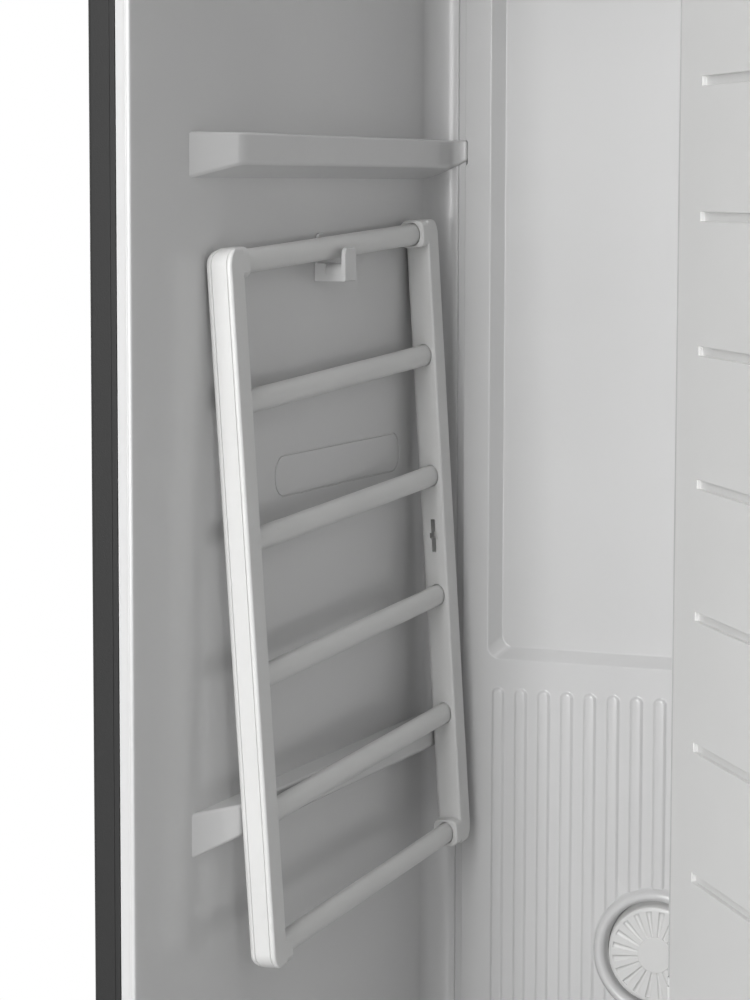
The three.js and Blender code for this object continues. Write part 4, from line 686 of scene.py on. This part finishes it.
def rail(side):
    """The bar and collars on one side of the rack, a socket for each rung, and the rear rail's cross slot."""
    inner, ends = HALF - WIDE, (0, RUNGS - 1)
    whole = rail_bar(side)
    for number in ends:
        combine(whole, collar(-number * PITCH, side), "UNION")
    for number in range(RUNGS):
        mouth = inner - (12 if number in ends else 1)
        first, last = sorted((side * mouth, side * (inner + 3)))
        combine(whole, oval(-number * PITCH, 0.55, first, last), "DIFFERENCE")
    if side > 0:
        for x, z in ((1.7, 12.9), (3.2, 2.2)):
            bar = cube(local(-x, inner - 2, LOW / 2 - z), local(x, inner + 9, LOW / 2 + z))
            combine(whole, bar, "DIFFERENCE")
    smooth(whole, 32)
    whole.data.transform(RACK)
    return whole


def rung(z):
    """An oval bar whose ends sit in the rails' sockets."""
    end = HALF - WIDE + 2.9
    piece = oval(z, 0, -end, end)
    smooth(piece, 40)
    piece.data.transform(RACK)
    return piece


install(rail(-1), "rack_front_rail", "rack_rail_front")
install(rail(1), "rack_rear_rail", "rack_rail_rear")
for number in range(RUNGS):
    install(rung(-number * PITCH), f"rack_rung_round_{number + 1}", f"rack_rung_{number + 1}")


# The other pieces keep their CAD form, with their edges rounded by a width

EDGES = {
    "left_side_panel": 0.5, "right_side_panel": 0.5, "top_panel": 0.4, "upper_fascia": 0.4, "kick_plate": 0.4,
    "back_cover": 0.3, "base_pan": 0.5, "ceiling_panel": 0.8, "floor_tray": 0.8, "steam_outlet": 0.6,
    "lamp_lens": 0.7, "tank_bay": 1.0, "supply_tank": 0.7, "drain_tank": 0.7,
    "supply_tank_lid": 0.8, "drain_tank_lid": 0.8, "lint_filter": 0.6, "hanger_bar": 0.8,
    "hanger_carriage": 0.7, "hanger_guide": 0.4, "shaker_motor": 0.8, "crank_wheel": 0.5, "control_board": 0.4,
    "heat_pump_base": 0.5, "blower_impeller": 0.3, "evaporator": 0.2, "condenser": 0.2, "compressor": 1.5,
    "water_pump": 0.8, "steam_generator": 0.6, "steam_pipe": 0.4, "power_inlet": 0.4,
    "upper_hinge_bracket": 0.6, "lower_hinge_bracket": 0.6, "door_glass": 0.8, "door_frame": 0.6,
    "door_liner": 1.5, "door_gasket": 1.5, "press_clamp": 0.8, "press_board": 1.2,
    "insulation_left": 2.0, "insulation_right": 2.0, "scent_sachet": 1.0,
    "levelling_foot_front_left": 0.7, "levelling_foot_front_right": 0.7,
    "levelling_foot_rear_left": 0.7, "levelling_foot_rear_right": 0.7,
}


def refined(node, width):
    """A copy of a CAD node with its seams merged, its flat faces joined and its edges rounded."""
    alone(NODES[node])
    bpy.ops.object.duplicate()
    piece = bpy.context.active_object
    for key in list(piece.keys()):
        del piece[key]
    piece.parent = None
    edit(piece)
    weld()
    bpy.ops.mesh.dissolve_limited(angle_limit=math.radians(1))
    done()
    soften(piece, width, 2, 32)
    install(piece, f"{node}_finished", node)


for node, width in EDGES.items():
    refined(node, width)


# Studio, in metres and watts

LAMPS = {  # place, target, size, power
    "key_softbox": ((-0.38, -3.6, 2.2), (0.0, 0.0, 1.1), (0.8, 4.0), 100),
    "front_softbox": ((0.4, -3.6, 2.2), (0.0, 0.0, 1.1), (0.5, 4.0), 32),
    "right_softbox": ((2.2, -3.1, 2.2), (0.0, 0.0, 1.1), (0.6, 3.6), 30),
    "top_softbox": ((0.2, -2.4, 3.9), (0.0, 0.0, 0.8), (2.0, 1.2), 14),
    "left_rear_softbox": ((-2.6, 1.9, 2.0), (0.0, 0.1, 0.9), (1.6, 2.4), 60),
    "right_rear_softbox": ((2.8, 1.5, 2.0), (0.0, 0.1, 0.9), (1.6, 2.4), 60),
}
for name, (place, target, size, power) in LAMPS.items():
    light = bpy.data.lights.new(name, "AREA")
    light.shape = "RECTANGLE"
    light.size, light.size_y = size
    light.energy = power
    lamp = bpy.data.objects.new(name, light)
    bpy.context.scene.collection.objects.link(lamp)
    lamp.location = place
    lamp.rotation_euler = (Vector(target) - Vector(place)).to_track_quat("-Z", "Y").to_euler()


def either_ray(tree, *kinds):
    """The (node, output) pair that is 1 for rays of the named kinds and 0 for all others."""
    rays = add(tree, "ShaderNodeLightPath")
    pair = (rays, f"Is {kinds[0]} Ray")
    for kind in kinds[1:]:
        pair = (add(tree, "ShaderNodeMath", {"operation": "MAXIMUM"}, {0: pair, 1: (rays, f"Is {kind} Ray")}), 0)
    return pair


# The background gives a little soft light, and is white where it is seen, directly or in a reflection
world = bpy.data.worlds.new("studio")
bpy.context.scene.world = world
world.use_nodes = True
tree = world.node_tree
tree.nodes.clear()
soft = add(tree, "ShaderNodeBackground", {"Color": linear("#ffffff"), "Strength": 0.06})
white = add(tree, "ShaderNodeBackground", {"Color": linear("#ffffff"), "Strength": 1.0})
mix = add(tree, "ShaderNodeMixShader", links={
    0: either_ray(tree, "Camera", "Transmission", "Glossy"), 1: (soft, 0), 2: (white, 0)})
add(tree, "ShaderNodeOutputWorld", links={"Surface": (mix, 0)})


def studio_paint():
    """White floor paint that fades into the white background away from the object, so only its shadow shows."""
    material = moulded_plastic("painted_studio_floor", "#f0f0f0", "#f4f4f4", 0.7, 900, 3, 0.01)
    tree = material.node_tree
    paint, output = (
        next(node for node in tree.nodes if node.type == kind) for kind in ("BSDF_PRINCIPLED", "OUTPUT_MATERIAL"))
    place = add(tree, "ShaderNodeTexCoord")
    reach = add(tree, "ShaderNodeVectorMath", {"operation": "LENGTH"}, {0: (place, "Object")})
    fade = add(tree, "ShaderNodeMapRange", {"From Min": 0.7, "From Max": 2.2, "interpolation_type": "SMOOTHSTEP"},
               {"Value": (reach, "Value")})
    share = add(tree, "ShaderNodeMath", {"operation": "MULTIPLY"},
                {0: (fade, "Result"), 1: either_ray(tree, "Camera", "Glossy")})
    glow = add(tree, "ShaderNodeEmission", {"Color": linear("#ffffff"), "Strength": 1.0})
    blend = add(tree, "ShaderNodeMixShader", links={0: (share, 0), 1: (paint, 0), 2: (glow, 0)})
    tree.links.new(blend.outputs[0], output.inputs["Surface"])
    return material


bpy.ops.object.select_all(action="DESELECT")
bpy.ops.mesh.primitive_plane_add(size=12, location=(0, 0, -0.0151))  # just under the feet
floor = bpy.context.active_object
floor.name = "studio_floor"
floor.data.materials.append(studio_paint())


# Camera, fitted to the photograph's edges: place in metres, angles in radians, focal length in pixels

EYE = (0.6702, -1.9669, 1.2)
YAW, DOWN, ROLL = 0.39016, 0.10526, 0.00246
FOCAL, FRAME_HEIGHT, SENSOR_HEIGHT = 3002.1, 1000, 36
forward = Vector((-math.sin(YAW) * math.cos(DOWN), math.cos(YAW) * math.cos(DOWN), -math.sin(DOWN)))
level = Vector((math.cos(YAW), math.sin(YAW), 0))
upright = level.cross(forward)
right = level * math.cos(ROLL) + upright * math.sin(ROLL)
up = upright * math.cos(ROLL) - level * math.sin(ROLL)
camera = bpy.data.objects.new("camera", bpy.data.cameras.new("camera"))
bpy.context.scene.collection.objects.link(camera)
camera.matrix_world = Matrix.Translation(EYE) @ Matrix((right, up, -forward)).transposed().to_4x4()
camera.data.sensor_fit = "VERTICAL"
camera.data.sensor_height = SENSOR_HEIGHT
camera.data.lens = FOCAL * SENSOR_HEIGHT / FRAME_HEIGHT
bpy.context.scene.camera = camera
bpy.context.scene.view_settings.view_transform = "Standard"

bpy.context.view_layer.update()
